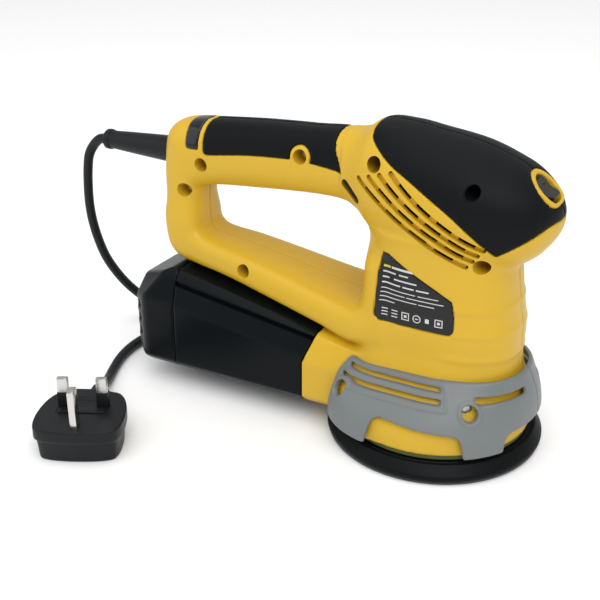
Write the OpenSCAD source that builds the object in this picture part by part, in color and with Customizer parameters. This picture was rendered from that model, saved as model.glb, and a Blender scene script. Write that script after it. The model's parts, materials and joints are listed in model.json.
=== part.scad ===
// Random orbital sander with a loop handle, a slide-off dust box and a mains lead.
// Millimetres. +X is the nose, +Z is up, Y = 0 is the seam of the two housing halves.
// The origin is the centre of the sanding face, on the pad's own axis.

/* [Pad and orbit] */
// Diameter of the sanding pad
pad_d = 125; // [122:1:127]
// Thickness of the pad with its hook face
pad_h = 10.8; // [10:0.2:10.8]
// Distance from the motor axis to the pad axis
orbit_r = 1.25; // [0.8:0.05:1.5]
// Diameter of the circle of dust holes
dust_pcd = 65; // [60:1:70]
// Diameter of each dust hole
dust_hole_d = 10; // [8:0.5:11]
// Number of dust holes
dust_holes = 8; // [6:1:8]

/* [Housing] */
// Wall thickness of the housing halves
wall = 2.6; // [2.2:0.1:3]
// Thickness of the soft grip layer
grip_t = 1.8; // [1.4:0.1:2]
// Wall thickness of the grey collar
collar_t = 2.4; // [2:0.1:2.4]
// Radius of the deep screw recesses
recess_r = 4.2; // [3.8:0.1:4.4]
// Width of the vent slots
vent_w = 2.6; // [2:0.1:3]

/* [Dust box] */
// Wall thickness of the dust box
box_wall = 2; // [1.6:0.1:2.4]
// X of the rear face of the dust box cap
cap_rear = -191; // [-194:1:-188]
// X of the joint between the box and its cap
box_rear = -159; // [-162:1:-156]

/* [Controls] */
// Radius of the speed dial
dial_r = 23.6; // [23:0.1:24]
// Width of the speed dial
dial_w = 4.8; // [4:0.1:5]

/* [Lead and plug] */
// Diameter of the mains lead
cord_d = 6.2; // [6:0.1:6.4]

/* [Hidden] */

motor_x = -orbit_r;
big = 300;
// Sides of the outer sections, and of the plainer ones inside the hollow
section_sides = 28;
hollow_sides = 16;

// Sections of the upright column: x, z, half length, half width, squareness
skirt_base = [0, 14, 55, 55, 2];
column = [skirt_base, [0.5, 28, 54, 53, 2], [2, 40, 50.5, 44, 2.05], [3.5, 48, 46, 37.2, 2.15],
    [4.5, 54, 44, 33.5, 2.3], [5.2, 74, 44.6, 33, 2.5], [4, 98, 42.6, 33.5, 2.5],
    [3, 118, 41, 34, 2.4]];

// Sections of the head, across X: x, z, half height, half width, squareness
head = [[-54, 153.5, 17, 18.6, 2.3], [-46, 151.5, 22, 23.2, 2.3], [-38, 149.5, 29, 27.6, 2.25],
    [-22, 145, 34, 32.5, 2.2], [-4, 141.5, 34.8, 35.4, 2.2], [16, 140, 33, 35.6, 2.2],
    [32, 139.5, 29.3, 32.6, 2.2], [46, 138.8, 24, 26.8, 2.2], [55, 138.5, 16, 20.5, 2.2],
    [60, 139.6, 8.5, 14, 2.1], [62.2, 140, 3, 8, 2]];

// Sections of the loop handle: x, z, tilt, half depth, half width, squareness
handle = [[-50, 153.5, 90, 17.5, 18.4, 2.4], [-80, 153.2, 90, 16.7, 17.2, 2.4],
    [-112, 151, 90, 17.2, 17, 2.4], [-136, 148.2, 90, 17.3, 17, 2.4],
    [-146.5, 144.8, 66, 18.6, 17, 2.4], [-151.8, 139.8, 42, 21.6, 17, 2.4],
    [-154.4, 131.5, 20, 20.6, 17, 2.4], [-155.4, 121.6, 2, 19.6, 17.1, 2.4],
    [-154.8, 110, 0, 19.4, 17.4, 2.4], [-154.5, 100, -16, 20, 18, 2.4],
    [-153, 92.2, -42, 19, 18.6, 2.4], [-144, 90.5, -70, 14.2, 19.4, 2.4],
    [-128, 88, -90, 13.5, 20.4, 2.4], [-96, 81.3, -90, 14.7, 22.6, 2.4],
    [-66, 75.5, -90, 15.5, 26, 2.4], [-40, 70, -90, 17, 31, 2.4]];

function oval(a, b, n, count) = [for (i = [0:count - 1])
    let (t = 360 * (i + 0.5) / count, c = cos(t), s = sin(t))
    [a * sign(c) * pow(abs(c), 2 / n), b * sign(s) * pow(abs(s), 2 / n)]];

// One closed section, tilted about Y, as points in space
function section(x, z, tilt, a, b, n, inset) =
    [for (p = oval(a - inset, b - inset, n, inset < wall ? section_sides : hollow_sides))
        [x + p[0] * cos(tilt), p[1], z - p[0] * sin(tilt)]];

function column_section(s, inset) = section(s[0], s[1], 0, s[2], s[3], s[4], inset);

// An inset head also ends short of the nose
function head_section(s, inset) =
    section(s[0] - inset * max(s[0] - 46, 0) / 16, s[1], 90, s[2], s[3], s[4],
        min(inset, s[2] - 0.5));

// Solid through a list of sections with equal numbers of points
module loft(sections) {
    n = len(sections[0]);
    last = len(sections) - 1;
    points = [for (s = sections) for (p = s) p];
    lower = [for (i = [0:last - 1]) for (k = [0:n - 1])
        [i * n + k, (i + 1) * n + k, (i + 1) * n + (k + 1) % n]];
    upper = [for (i = [0:last - 1]) for (k = [0:n - 1])
        [i * n + k, (i + 1) * n + (k + 1) % n, i * n + (k + 1) % n]];
    start = [for (k = [0:n - 1]) k];
    end = [for (k = [n - 1:-1:0]) last * n + k];
    polyhedron(points = points, faces = concat(lower, upper, [start], [end]), convexity = 6);
}

module column_form(inset = 0) {
    loft([for (s = column) column_section(s, inset)]);
}

module head_form(inset = 0) {
    loft([for (s = head) head_section(s, inset)]);
}

module handle_slice(s, inset) {
    count = inset < wall ? section_sides : hollow_sides;
    translate([s[0], 0, s[1]]) rotate([0, s[2], 0])
        linear_extrude(0.05, center = true)
            polygon(oval(s[3] - inset, s[4] - inset, s[5], count));
}

module handle_form(inset = 0) {
    for (i = [0:len(handle) - 2])
        hull() {
            handle_slice(handle[i], inset);
            handle_slice(handle[i + 1], inset);
        }
}

// Heights of the dust box along X: facet edge, groove and top
function facet_z(x) = 43 + 0.145 * (-69 - x);
function groove_z(x) = 56.5 + 0.16 * (-63 - x);
function roof_z(x) = 58.5 + 0.2 * (-64 - x);
box_floor = 14;

// Cross-section of the dust box and of the duct that it continues
function box_section(x, w) = [[-29 + w, box_floor + w], [29 - w, box_floor + w],
    [34.5 - w, 19 + w], [34.5 - w, facet_z(x)], [31.5 - w, groove_z(x) - w / 3],
    [25.5 - w, roof_z(x) - w], [-25.5 + w, roof_z(x) - w], [-31.5 + w, groove_z(x) - w / 3],
    [-34.5 + w, facet_z(x)], [-34.5 + w, 19 + w]];

module box_slice(x, w) {
    translate([x, 0, 0]) rotate([90, 0, 90])
        linear_extrude(0.05, center = true) polygon(box_section(x, w));
}

module box_form(x0, x1, w = 0) {
    hull() {
        box_slice(x0, w);
        box_slice(x1, w);
    }
}

// A side outline in X and Z, pushed through the whole width
module side_prism(points, half_width = 60) {
    rotate([90, 0, 0]) linear_extrude(2 * half_width, center = true) polygon(points);
}

// Side outline of the joint between the duct and the dust box
box_front = [[-70, 0], [-70, 40], [-60, 66], [-60, 90]];

module duct_form() {
    intersection() {
        box_form(-80, -36);
        side_prism(concat([[-20, 90], [-20, 0]], box_front));
    }
}

module outer_form() {
    column_form();
    head_form();
    handle_form();
    duct_form();
}

// Soft grip, lens and label outlines, seen from the side
head_grip_outline = [[-43, 190], [-42, 174], [-36, 168.5], [-23, 163.6], [-8, 157],
    [11.5, 146], [24, 135.6], [37, 123.5], [48, 130], [58, 137], [66, 141], [76, 190]];
handle_grip_outline = [[-147, 180], [-146, 163], [-143, 149.5], [-113, 153], [-86, 154.5],
    [-69, 153.5], [-52.5, 151.5], [-57, 158], [-60, 166], [-60, 180]];
lens_outline = [[-163, 180], [-157.5, 166], [-155.5, 151.5], [-149.5, 151.5], [-151.5, 163],
    [-153, 180]];
label_outline = [[-25, 114], [-21.5, 116.5], [14, 98], [18, 93], [19, 79], [15, 76],
    [-24, 77], [-28, 81]];

label_depth = 0.8;

// All that lies inside a side outline and above a depth below the housing's surface
module surface_cut(outline, depth) {
    difference() {
        side_prism(outline);
        head_form(depth);
        handle_form(depth);
        column_form(depth);
    }
}

// A layer of the housing's surface inside an outline
module skin(outline, thickness, sink = 0) {
    intersection() {
        surface_cut(outline, thickness);
        union() {
            head_form(sink);
            handle_form(sink);
            column_form(sink);
        }
    }
}

module right_side() {
    translate([-big, -big, -10]) cube([2 * big, big, 2 * big]);
}

module left_side() {
    translate([-big, 0, -10]) cube([2 * big, big, 2 * big]);
}

// Screws across the seam: x, z, boss radius, recess radius
handle_ring_screw = [-80.7, 157, 6, recess_r];
screws = [handle_ring_screw, [-145.9, 143, 6, recess_r], [-158.9, 125.6, 6, recess_r],
    [-115.3, 84, 6, recess_r], [-31.4, 163, 6, recess_r], [23.3, 157, 6, recess_r],
    [30, 117.5, 6, recess_r], [-40.5, 125, 4.6, 3.4]];
seat_y = 7;
shank_r = 1.75;
pilot_r = 2.05;

module across(x, y, z, r, h, sides = 18) {
    translate([x, y, z]) rotate([-90, 0, 0]) cylinder(r = r, h = h, $fn = sides);
}

// Bosses end inside the wall, below the grips
boss_sink = 2;
module bosses() {
    intersection() {
        union() {
            column_form(boss_sink);
            head_form(boss_sink);
            handle_form(boss_sink);
        }
        for (s = screws)
            across(s[0], -40, s[1], s[2], 80);
    }
}

module screw_holes() {
    for (s = screws) {
        across(s[0], -60, s[1], s[3], 60 - seat_y);
        across(s[0], -20, s[1], pilot_r, 31);
    }
}

// Vent slots fan out below the head grip, each a gentle arc: start x, z, end x, z
vents = [[-38, 157, 20, 117.5], [-32, 158.5, 23, 121.5], [-26, 160, 27, 125.5],
    [-20, 162, 31.5, 128.5]];
vent_bow = 3.4;
vent_steps = 6;

function vent_point(v, t) =
    let (dx = v[2] - v[0], dz = v[3] - v[1], l = norm([dx, dz]), bow = vent_bow * 4 * t * (1 - t))
    [v[0] + dx * t + dz / l * bow, v[1] + dz * t - dx / l * bow];

module vent_slots() {
    half = [0.6, 0.8] * vent_w / 2;
    for (v = vents) {
        upper = [for (i = [0:vent_steps]) vent_point(v, i / vent_steps) + half];
        lower = [for (i = [vent_steps:-1:0]) vent_point(v, i / vent_steps) - half];
        difference() {
            side_prism(concat(upper, lower));
            translate([-60, -22, 80]) cube([120, 44, 120]);
        }
    }
}

// Ribs that cross the vents on the inside of the wall
module vent_ribs() {
    intersection() {
        union() {
            for (t = [0.14, 0.38, 0.62, 0.86])
                for (side = [-1, 1]) {
                    p = vent_point(vents[1], t);
                    translate([p[0] + 1, side * 30, p[1] + 2]) rotate([0, -53, 0])
                        cube([24, 14, 2], center = true);
                }
        }
        difference() {
            head_form(1.4);
            head_form(wall + 1.2);
        }
    }
}

// The switch sits on the sloping top of the nose
switch_x = 51.6;
switch_z = 154.6;
switch_tilt = 43.6;
switch_ring_r = 12.4;
switch_hole_r = 8.6;
switch_flat = 7.4;

module on_switch() {
    translate([switch_x, 0, switch_z]) rotate([0, switch_tilt, 0]) children();
}

module switch_hole() {
    on_switch()
        intersection() {
            translate([0, 0, -20]) cylinder(r = switch_hole_r, h = 32, $fn = 28);
            translate([switch_flat - 40, -20, -21]) cube([40, 40, 34]);
        }
}

module switch_ring() {
    difference() {
        on_switch() translate([0, 0, -6]) cylinder(r = switch_ring_r, h = 6.8, $fn = 32);
        switch_hole();
    }
}

// The speed dial shows through a slot on each side of the neck of the handle
dial_x = -46.5;
dial_z = 144;
dial_tilt = 46;

module on_dial() {
    translate([dial_x, 0, dial_z]) rotate([0, dial_tilt, 0]) children();
}

// Collar screws: angle about the pad axis, height, distance of the skirt wall
collar_sites = [[-50, 38.5, 47.4], [-137, 35, 47.6], [50, 38.5, 47.4], [137, 35, 47.6]];

module at_collar_site(c) {
    translate([0, 0, c[1]]) rotate([0, 90, c[0]]) translate([0, 0, c[2]]) children();
}

// Solid seats in the housing wall for the collar screws
module collar_bosses() {
    intersection() {
        collar_loft(collar_t + 0.3);
        for (c = collar_sites)
            at_collar_site(c) translate([0, 0, -5.5]) cylinder(r = 5.2, h = 5.5, $fn = 24);
    }
}

// Hollow inside of the housing, with the shelf for the bearing bridge and the dust passage
shelf_z = 36;
module hollow() {
    difference() {
        union() {
            intersection() {
                column_form(wall);
                translate([-big, -big, 0]) cube([2 * big, 2 * big, 117]);
            }
            head_form(wall);
            handle_form(wall);
            box_form(-80, -36, box_wall);
        }
        translate([0, 0, shelf_z])
            difference() {
                translate([-60, -50, 0]) cube([120, 100, 1.6]);
                translate([motor_x, 0, -1]) cylinder(r = 38, h = 4, $fn = 36);
            }
        translate([-64, -40, 0]) cube([3, 80, 62]);
    }
    translate([-80, -22, 22]) cube([40, 44, 13]);
    translate([0, 0, 10]) cylinder(r = 52, h = 6, $fn = 40);
    translate([-190, 0, 144]) rotate([0, 90, 0]) cylinder(r = 6.4, h = 30, $fn = 20);
}

module housing_form() {
    difference() {
        union() {
            difference() {
                outer_form();
                hollow();
                surface_cut(head_grip_outline, grip_t);
                surface_cut(lens_outline, grip_t);
                difference() {
                    surface_cut(handle_grip_outline, grip_t);
                    across(handle_ring_screw[0], -60, handle_ring_screw[1], 6, 60);
                }
            }
            bosses();
            collar_bosses();
            vent_ribs();
            switch_ring();
        }
        screw_holes();
        vent_slots();
        switch_hole();
        on_dial() cylinder(r = dial_r + 0.4, h = dial_w + 1, center = true, $fn = 40);
        intersection() {
            surface_cut(label_outline, label_depth);
            right_side();
        }
        for (c = collar_sites)
            at_collar_site(c) {
                translate([0, 0, -10]) cylinder(r = pilot_r, h = 24, $fn = 24);
                cylinder(r = 3.8, h = 3.5, $fn = 24);
            }
    }
}

module housing_right() {
    color("gold") intersection() {
        housing_form();
        right_side();
    }
}

module housing_left() {
    color("gold") intersection() {
        housing_form();
        left_side();
    }
}

module head_grip_form() {
    difference() {
        skin(head_grip_outline, grip_t);
        on_switch() translate([0, 0, -12]) cylinder(r = switch_ring_r, h = 24, $fn = 32);
        screw_holes();
        vent_slots();
    }
}

module head_grip_right() {
    color("#26292b") intersection() {
        head_grip_form();
        right_side();
    }
}

module head_grip_left() {
    color("#26292b") intersection() {
        head_grip_form();
        left_side();
    }
}

module handle_grip_form() {
    difference() {
        skin(handle_grip_outline, grip_t);
        across(handle_ring_screw[0], -60, handle_ring_screw[1], 6, 60);
        on_dial() cylinder(r = dial_r + 0.4, h = dial_w + 1, center = true, $fn = 40);
    }
}

module handle_grip_right() {
    color("#26292b") intersection() {
        handle_grip_form();
        right_side();
    }
}

module handle_grip_left() {
    color("#26292b") intersection() {
        handle_grip_form();
        left_side();
    }
}

// Grey collar around the foot of the column, cut back where the duct comes in
collar = [[0, 14.4, 60, 60, 2], [0.5, 28, 58.5, 57, 2], [2, 40, 54.7, 48.6, 2.05],
    [3.5, 48, 50.2, 41.4, 2.15], [4.5, 54, 46.8, 36.3, 2.3]];
collar_windows = [[-110, -53, 27], [-35, 35, 24], [53, 110, 27]];
collar_slots = [[-146, -66, 44.8, 47], [-146, -66, 39.2, 42.6], [-41, -10, 40.6, 43.6],
    [66, 146, 44.8, 47], [66, 146, 39.2, 42.6], [10, 41, 40.6, 43.6]];

module collar_loft(inset) {
    loft([for (s = collar) column_section(s, inset)]);
}

module sector(a0, a1, z0, z1) {
    rotate([0, 0, a0]) rotate_extrude(angle = a1 - a0, $fn = 60)
        translate([20, z0]) square([60, z1 - z0]);
}

module collar_form() {
    difference() {
        collar_loft(0);
        collar_loft(collar_t);
        for (w = collar_windows)
            sector(w[0], w[1], 10, w[2]);
        for (s = collar_slots)
            sector(s[0], s[1], s[2], s[3]);
        side_prism([[-90, 8], [-46.8, 8], [-38.4, 60], [-90, 60]]);
        box_form(-80, -35.8, -0.15);
        for (c = collar_sites)
            at_collar_site(c) cylinder(r = 4.4, h = 20, $fn = 20);
    }
}

module collar_right() {
    color("#80878a") intersection() {
        collar_form();
        right_side();
    }
}

module collar_left() {
    color("#80878a") intersection() {
        collar_form();
        left_side();
    }
}

module pan_screw(length) {
    cylinder(r = 3.2, h = 2.2, $fn = 24);
    translate([0, 0, -length]) cylinder(r = shank_r, h = length + 0.5, $fn = 24);
}

module collar_screws() {
    color("silver")
        for (c = collar_sites)
            at_collar_site(c) translate([0, 0, 0.2]) pan_screw(7);
}

module housing_screws() {
    color("silver")
        for (s = screws)
            translate([s[0], -seat_y, s[1]]) rotate([90, 0, 0]) pan_screw(16);
}

module rating_label() {
    color("#202022") intersection() {
        skin(label_outline, label_depth, 0.25);
        right_side();
    }
}

module indicator_lens() {
    color("#15171c") skin(lens_outline, grip_t);
}

module indicator_led() {
    color("red") translate([-152, 0, 152.2]) {
        cylinder(r = 2.5, h = 3, $fn = 24);
        translate([0, 0, 3]) sphere(r = 2.5, $fn = 24);
        translate([0, 0, -1]) cylinder(r = 2.9, h = 1, $fn = 24);
    }
}

// Rocker of the switch: a shallow V with a raised end at the low side of the nose
rocker_pivot_depth = 4.5;
rocker_half_y = 4.6;
module switch_rocker() {
    color("#1c1d20") on_switch() difference() {
        rotate([90, 0, 0]) linear_extrude(2 * rocker_half_y, center = true)
            polygon([[-6, -3], [-6, 0.7], [-0.4, 0.5], [5.4, 2.6], [5.9, 1.8], [5.2, -3],
                [2.6, -6.6], [-2.6, -6.6]]);
        translate([0, 10, -rocker_pivot_depth]) rotate([90, 0, 0]) cylinder(r = 1.05, h = 20, $fn = 24);
    }
}

module switch_body() {
    color("#2b2c2e") on_switch() {
        difference() {
            union() {
                translate([-8, -7.2, -22]) cube([16, 14.4, 15.7]);
                translate([-3, -7.2, -22]) cube([6, 14.4, 19.4]);
            }
            translate([-7, -rocker_half_y - 0.3, -12.4]) cube([14, 2 * rocker_half_y + 0.6, 12]);
        }
        translate([0, 7, -rocker_pivot_depth]) rotate([90, 0, 0]) cylinder(r = 1, h = 14, $fn = 24);
        for (u = [-5, 0, 5])
            translate([u - 0.4, -3, -27]) cube([0.8, 6, 5.2]);
    }
}

dial_teeth = 40;
module speed_dial() {
    color("#1d1e20") on_dial() difference() {
        union() {
            cylinder(r = dial_r - 0.8, h = dial_w, center = true, $fn = 96);
            for (i = [0:dial_teeth - 1])
                rotate([0, 0, 360 * i / dial_teeth]) translate([dial_r - 1.4, -0.9, -dial_w / 2])
                    cube([1.3, 1.8, dial_w]);
        }
        cylinder(r = 3.05, h = dial_w + 2, center = true, $fn = 32);
    }
}

module dial_shaft() {
    color("silver") on_dial() {
        translate([0, 0, -4]) cylinder(r = 3, h = 9, $fn = 32);
        translate([0, 0, 4]) cylinder(r = 8, h = 5.5, $fn = 32);
    }
}

module control_board() {
    color("darkgreen") translate([-26, -14, 147]) cube([30, 28, 1.6]);
    color("#333333") translate([-22, -5, 148.6]) cube([10, 10, 3.2]);
    color("gray") translate([-8, -9, 148.6]) cube([9, 18, 7]);
}

module suppression_capacitor() {
    color("goldenrod") translate([-88, -5, 71]) cube([26, 10, 13]);
}

// Motor, from the top bearing down
module upper_bearing_bracket() {
    color("#3a3a3a") translate([motor_x, 0, 0]) difference() {
        union() {
            translate([0, 0, 130]) cylinder(r = 14.5, h = 10.5, $fn = 48);
            translate([-24, -7, 130]) cube([48, 14, 3.6]);
            translate([-7, -24, 130]) cube([14, 48, 3.6]);
        }
        translate([0, 0, 129]) cylinder(r = 11, h = 9, $fn = 48);
        translate([0, 0, 129]) cylinder(r = 7, h = 20, $fn = 48);
    }
}

module ball_bearing(outer_d, bore_r, width) {
    rotate_extrude($fn = 64)
        polygon([[bore_r, 0.4], [bore_r, width - 0.4], [bore_r + 0.3, width],
            [bore_r + 2, width], [bore_r + 2, width - 0.5], [outer_d / 2 - 2, width - 0.5],
            [outer_d / 2 - 2, width], [outer_d / 2 - 0.3, width], [outer_d / 2, width - 0.4],
            [outer_d / 2, 0.4], [outer_d / 2 - 0.3, 0], [outer_d / 2 - 2, 0],
            [outer_d / 2 - 2, 0.5], [bore_r + 2, 0.5], [bore_r + 2, 0], [bore_r + 0.3, 0]]);
}

module upper_bearing() {
    color("silver") translate([motor_x, 0, 131]) ball_bearing(22, 4.05, 7);
}

module lower_bearing() {
    color("silver") translate([motor_x, 0, 39]) ball_bearing(26, 5.05, 8);
}

module bearing_bridge() {
    color("#c9cbc9") translate([motor_x, 0, 0]) difference() {
        union() {
            translate([0, 0, 37.6]) cylinder(r = 40.5, h = 2.6, $fn = 72);
            translate([0, 0, 36.4]) cylinder(r = 17, h = 10.6, $fn = 48);
            for (a = [0:45:315])
                rotate([0, 0, a]) translate([16, -1, 40]) cube([20, 2, 4]);
        }
        translate([0, 0, 39]) cylinder(r = 13, h = 9, $fn = 48);
        translate([0, 0, 30]) cylinder(r = 9, h = 20, $fn = 48);
    }
}

module motor_stator() {
    color("#6d7072") translate([motor_x, 0, 66]) difference() {
        cylinder(r = 28, h = 36, $fn = 72);
        translate([0, 0, -1]) cylinder(r = 16.5, h = 38, $fn = 72);
        for (side = [-1, 1])
            translate([-20, side * 21 - 4, -1]) cube([40, 8, 38]);
        for (side = [-1, 1])
            translate([side * 25.5 - 1.5, -30, -1]) cube([3, 14, 38]);
    }
}

module stator_windings() {
    color("#b5651d") translate([motor_x, 0, 0])
        for (side = [-1, 1])
            translate([-19, side * 21 - 3.6, 62]) cube([38, 7.2, 44]);
}

brush_z = 117;
module brush_holders() {
    color("#b08d3a") translate([motor_x, 0, brush_z])
        for (side = [-1, 1])
            rotate([0, 0, 90 * side]) difference() {
                translate([12.5, -4.6, -5.6]) cube([8.7, 9.2, 11.2]);
                translate([11, -3.1, -4.1]) cube([8.7, 6.2, 8.2]);
            }
}

module carbon_brushes() {
    color("#303030") translate([motor_x, 0, brush_z])
        for (side = [-1, 1])
            rotate([0, 0, 90 * side]) translate([10.4, -3, -4]) cube([9, 6, 8]);
}

module armature_shaft() {
    color("silver") translate([motor_x, 0, 0]) {
        translate([0, 0, 30.5]) cylinder(r = 5, h = 94.5, $fn = 48);
        translate([0, 0, 124]) cylinder(r = 4, h = 14.5, $fn = 48);
    }
}

module armature_core() {
    color("#55585a") translate([motor_x, 0, 66]) difference() {
        cylinder(r = 15.8, h = 36, $fn = 72);
        translate([0, 0, -1]) cylinder(r = 5, h = 38, $fn = 48);
        for (a = [0:30:330])
            rotate([0, 0, a]) translate([10.5, -1.4, -1]) cube([6, 2.8, 38]);
    }
}

module commutator() {
    color("#b87333") translate([motor_x, 0, 111]) difference() {
        cylinder(r = 10, h = 12, $fn = 48);
        translate([0, 0, -1]) cylinder(r = 5, h = 14, $fn = 48);
        for (a = [0:15:345])
            rotate([0, 0, a]) translate([9.2, -0.25, 1]) cube([1.2, 0.5, 12]);
    }
}

module blade_ring(r0, r1, z0, h, count, t) {
    for (i = [0:count - 1])
        rotate([0, 0, 360 * i / count]) translate([r0, -t / 2, z0]) cube([r1 - r0, t, h]);
}

module cooling_fan() {
    color("#2f3133") translate([motor_x, 0, 0]) difference() {
        union() {
            translate([0, 0, 50]) cylinder(r = 27, h = 1.6, $fn = 64);
            translate([0, 0, 50]) cylinder(r = 9, h = 10, $fn = 48);
            blade_ring(8, 26.5, 51, 8, 11, 1.4);
        }
        translate([0, 0, 49]) cylinder(r = 5, h = 13, $fn = 48);
    }
}

module dust_fan() {
    color("#2f3133") translate([motor_x, 0, 0]) difference() {
        union() {
            translate([0, 0, 33.6]) cylinder(r = 37, h = 1.6, $fn = 72);
            blade_ring(19.5, 36.5, 27.6, 6.5, 12, 1.6);
        }
        translate([0, 0, 26]) cylinder(r = 12.4, h = 12, $fn = 48);
    }
}

hub_top = 35.9;
module eccentric_hub() {
    color("#9b9ea0") difference() {
        union() {
            translate([0, 0, 17.4]) cylinder(r = 17.6, h = 12.4, $fn = 64);
            translate([motor_x, 0, 28]) cylinder(r = 12.4, h = hub_top - 28, $fn = 64);
        }
        translate([0, 0, 16]) cylinder(r = 14, h = 11.6, $fn = 64);
        translate([motor_x, 0, 30.5]) cylinder(r = 5, h = 12, $fn = 48);
    }
}

module counterweight() {
    color("#76797b") translate([motor_x, 0, 18]) difference() {
        rotate([0, 0, 120]) rotate_extrude(angle = 120, $fn = 72)
            translate([21.2, 0]) square([14, 9.6]);
        for (a = [150, 180, 210])
            rotate([0, 0, a]) translate([28, 0, -1]) cylinder(r = 2.4, h = 5, $fn = 24);
    }
}

module pad_bearing() {
    color("silver") translate([0, 0, 19]) ball_bearing(28, 6.05, 8);
}

module retaining_ring() {
    color("#4a4a4a") difference() {
        translate([0, 0, 17.8]) cylinder(r = 14, h = 1.1, $fn = 64);
        translate([0, 0, 17]) cylinder(r = 11.8, h = 3, $fn = 64);
        translate([8, -2.5, 17]) cube([10, 5, 3]);
    }
}

// Everything below here turns with the pad
module pad_spindle() {
    color("#a5a8aa") difference() {
        union() {
            cylinder_at(13.2, 15.2, 15);
            cylinder_at(15, 18.6, 9);
            cylinder_at(18.4, 27.2, 6);
        }
        cylinder_at(10, 25, 3);
    }
}

module cylinder_at(z0, z1, r) {
    translate([0, 0, z0]) cylinder(r = r, h = z1 - z0, $fn = 64);
}

module dust_hole_ring(z0, z1) {
    for (i = [0:dust_holes - 1])
        rotate([0, 0, 360 * (i + 0.5) / dust_holes]) translate([dust_pcd / 2, 0, z0])
            cylinder(r = dust_hole_d / 2, h = z1 - z0, $fn = 36);
}

module pad_plate() {
    color("#1f2021") difference() {
        cylinder_at(pad_h, 13.2, 42);
        cylinder_at(pad_h - 1, 14, 3);
        dust_hole_ring(pad_h - 1, 14);
    }
}

hook_t = 1.6;
module backing_pad() {
    color("#141517") difference() {
        rotate_extrude($fn = 120)
            polygon([[0, hook_t], [pad_d / 2 - 1, hook_t], [pad_d / 2, 3.2], [pad_d / 2, 5],
                [pad_d / 2 - 4, pad_h], [0, pad_h]]);
        cylinder_at(0, 6, 9);
        cylinder_at(0, 14, 3);
        dust_hole_ring(0, 14);
    }
}

module pad_hook_face() {
    color("#2b2c30") difference() {
        cylinder_at(0, hook_t, pad_d / 2 - 1);
        cylinder_at(-1, 3, 9);
        dust_hole_ring(-1, 3);
    }
}

module pad_screw() {
    color("silver") difference() {
        union() {
            cylinder_at(3, 6, 8);
            cylinder_at(5.5, 24, 3);
        }
        translate([0, 0, 2]) cylinder(r = 2.9, h = 3, $fn = 6);
    }
}

module pad_brake_ring() {
    color("#4a5226") difference() {
        cylinder_at(11.2, 13.9, 54);
        cylinder_at(10, 15, 47);
    }
}

// Dust box
module dust_box_body() {
    color("#1b1d20") {
        difference() {
            intersection() {
                box_form(-161, -55);
                side_prism(concat([[box_rear, 90], [box_rear, 0]], box_front - [[0.4, 0], [0.4, 0],
                    [0.4, 0], [0.4, 0]]));
            }
            box_form(-170, -50, box_wall);
            for (side = [-1, 1])
                translate([0, side * 31.8, 0]) rotate([0, 9.1, 0])
                    translate([-180, -1.5, 44.4]) cube([130, 3, 3]);
        }
        intersection() {
            box_form(-161, -55, 0.5);
            translate([-146, -40, 0]) cube([1.6, 80, 100]);
            difference() {
                translate([-160, -40, 0]) cube([40, 80, 90]);
                translate([-160, -27, 20]) cube([40, 54, 42]);
            }
        }
    }
}

// Cap of the dust box, with finger ridges down its rear corners
cap_outline = [[box_rear - 0.2, 0], [cap_rear + 5, 13.6], [cap_rear, 19], [cap_rear, 62],
    [cap_rear + 4, 66.5], [box_rear - 0.2, 79.5]];
cap_ridges = [24, 33, 42, 51];
module dust_box_cap() {
    color("#1b1d20") {
        difference() {
            intersection() {
                hull() {
                    box_slice(box_rear + 1, 0);
                    box_slice(cap_rear + 9, 0.6);
                    box_slice(cap_rear + 0.03, 6);
                }
                side_prism(cap_outline);
            }
            intersection() {
                box_form(cap_rear + 10, -150, box_wall + 1.4);
                side_prism([[-150, 0], [-190, 0], [-190, 62.1], [-150, 80.8]]);
            }
            for (z = cap_ridges)
                for (side = [-1, 1])
                    translate([cap_rear + 1.5, side * 32, z]) rotate([0, 0, side * 45])
                        cube([14, 10, 3], center = true);
        }
    }
}

filter_pleats = 9;
module dust_filter() {
    color("#d8d4c4") translate([-144, 0, 0]) {
        difference() {
            translate([0, -30, 19]) cube([12, 60, 44]);
            translate([-1, -26, 23]) cube([14, 52, 36]);
        }
        translate([1, 0, 23]) linear_extrude(36)
            for (i = [0:filter_pleats - 1])
                translate([0, -26 + 52 / filter_pleats * (i + 0.5)])
                    polygon([[0, -2.9], [10, -0.5], [10, 0.5], [0, 2.9], [0, 1.7], [7, 0], [0, -1.7]]);
    }
}

// Lead: sleeve, clamp, free cord, coil and plug
sleeve_end = -226;
module cord_sleeve() {
    color("#17181a") translate([0, 0, 144]) rotate([0, -90, 0]) {
        translate([0, 0, 160]) difference() {
            union() {
                cylinder(r = 6, h = 14.4, $fn = 36);
                translate([0, 0, 14.4]) cylinder(r1 = 7, r2 = 4.8, h = 48, $fn = 36);
                translate([0, 0, 62.4]) cylinder(r = 5.4, h = 3.6, $fn = 36);
                cylinder(r = 8.4, h = 3, $fn = 36);
            }
            translate([0, 0, -1]) cylinder(r = cord_d / 2, h = 70, $fn = 36);
        }
    }
}

module cable_clamp() {
    color("#3a3a3a") difference() {
        translate([-159.4, -9, 137]) cube([7, 18, 14]);
        translate([-161, 0, 144]) rotate([0, 90, 0]) cylinder(r = cord_d / 2, h = 12, $fn = 32);
    }
}

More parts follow.
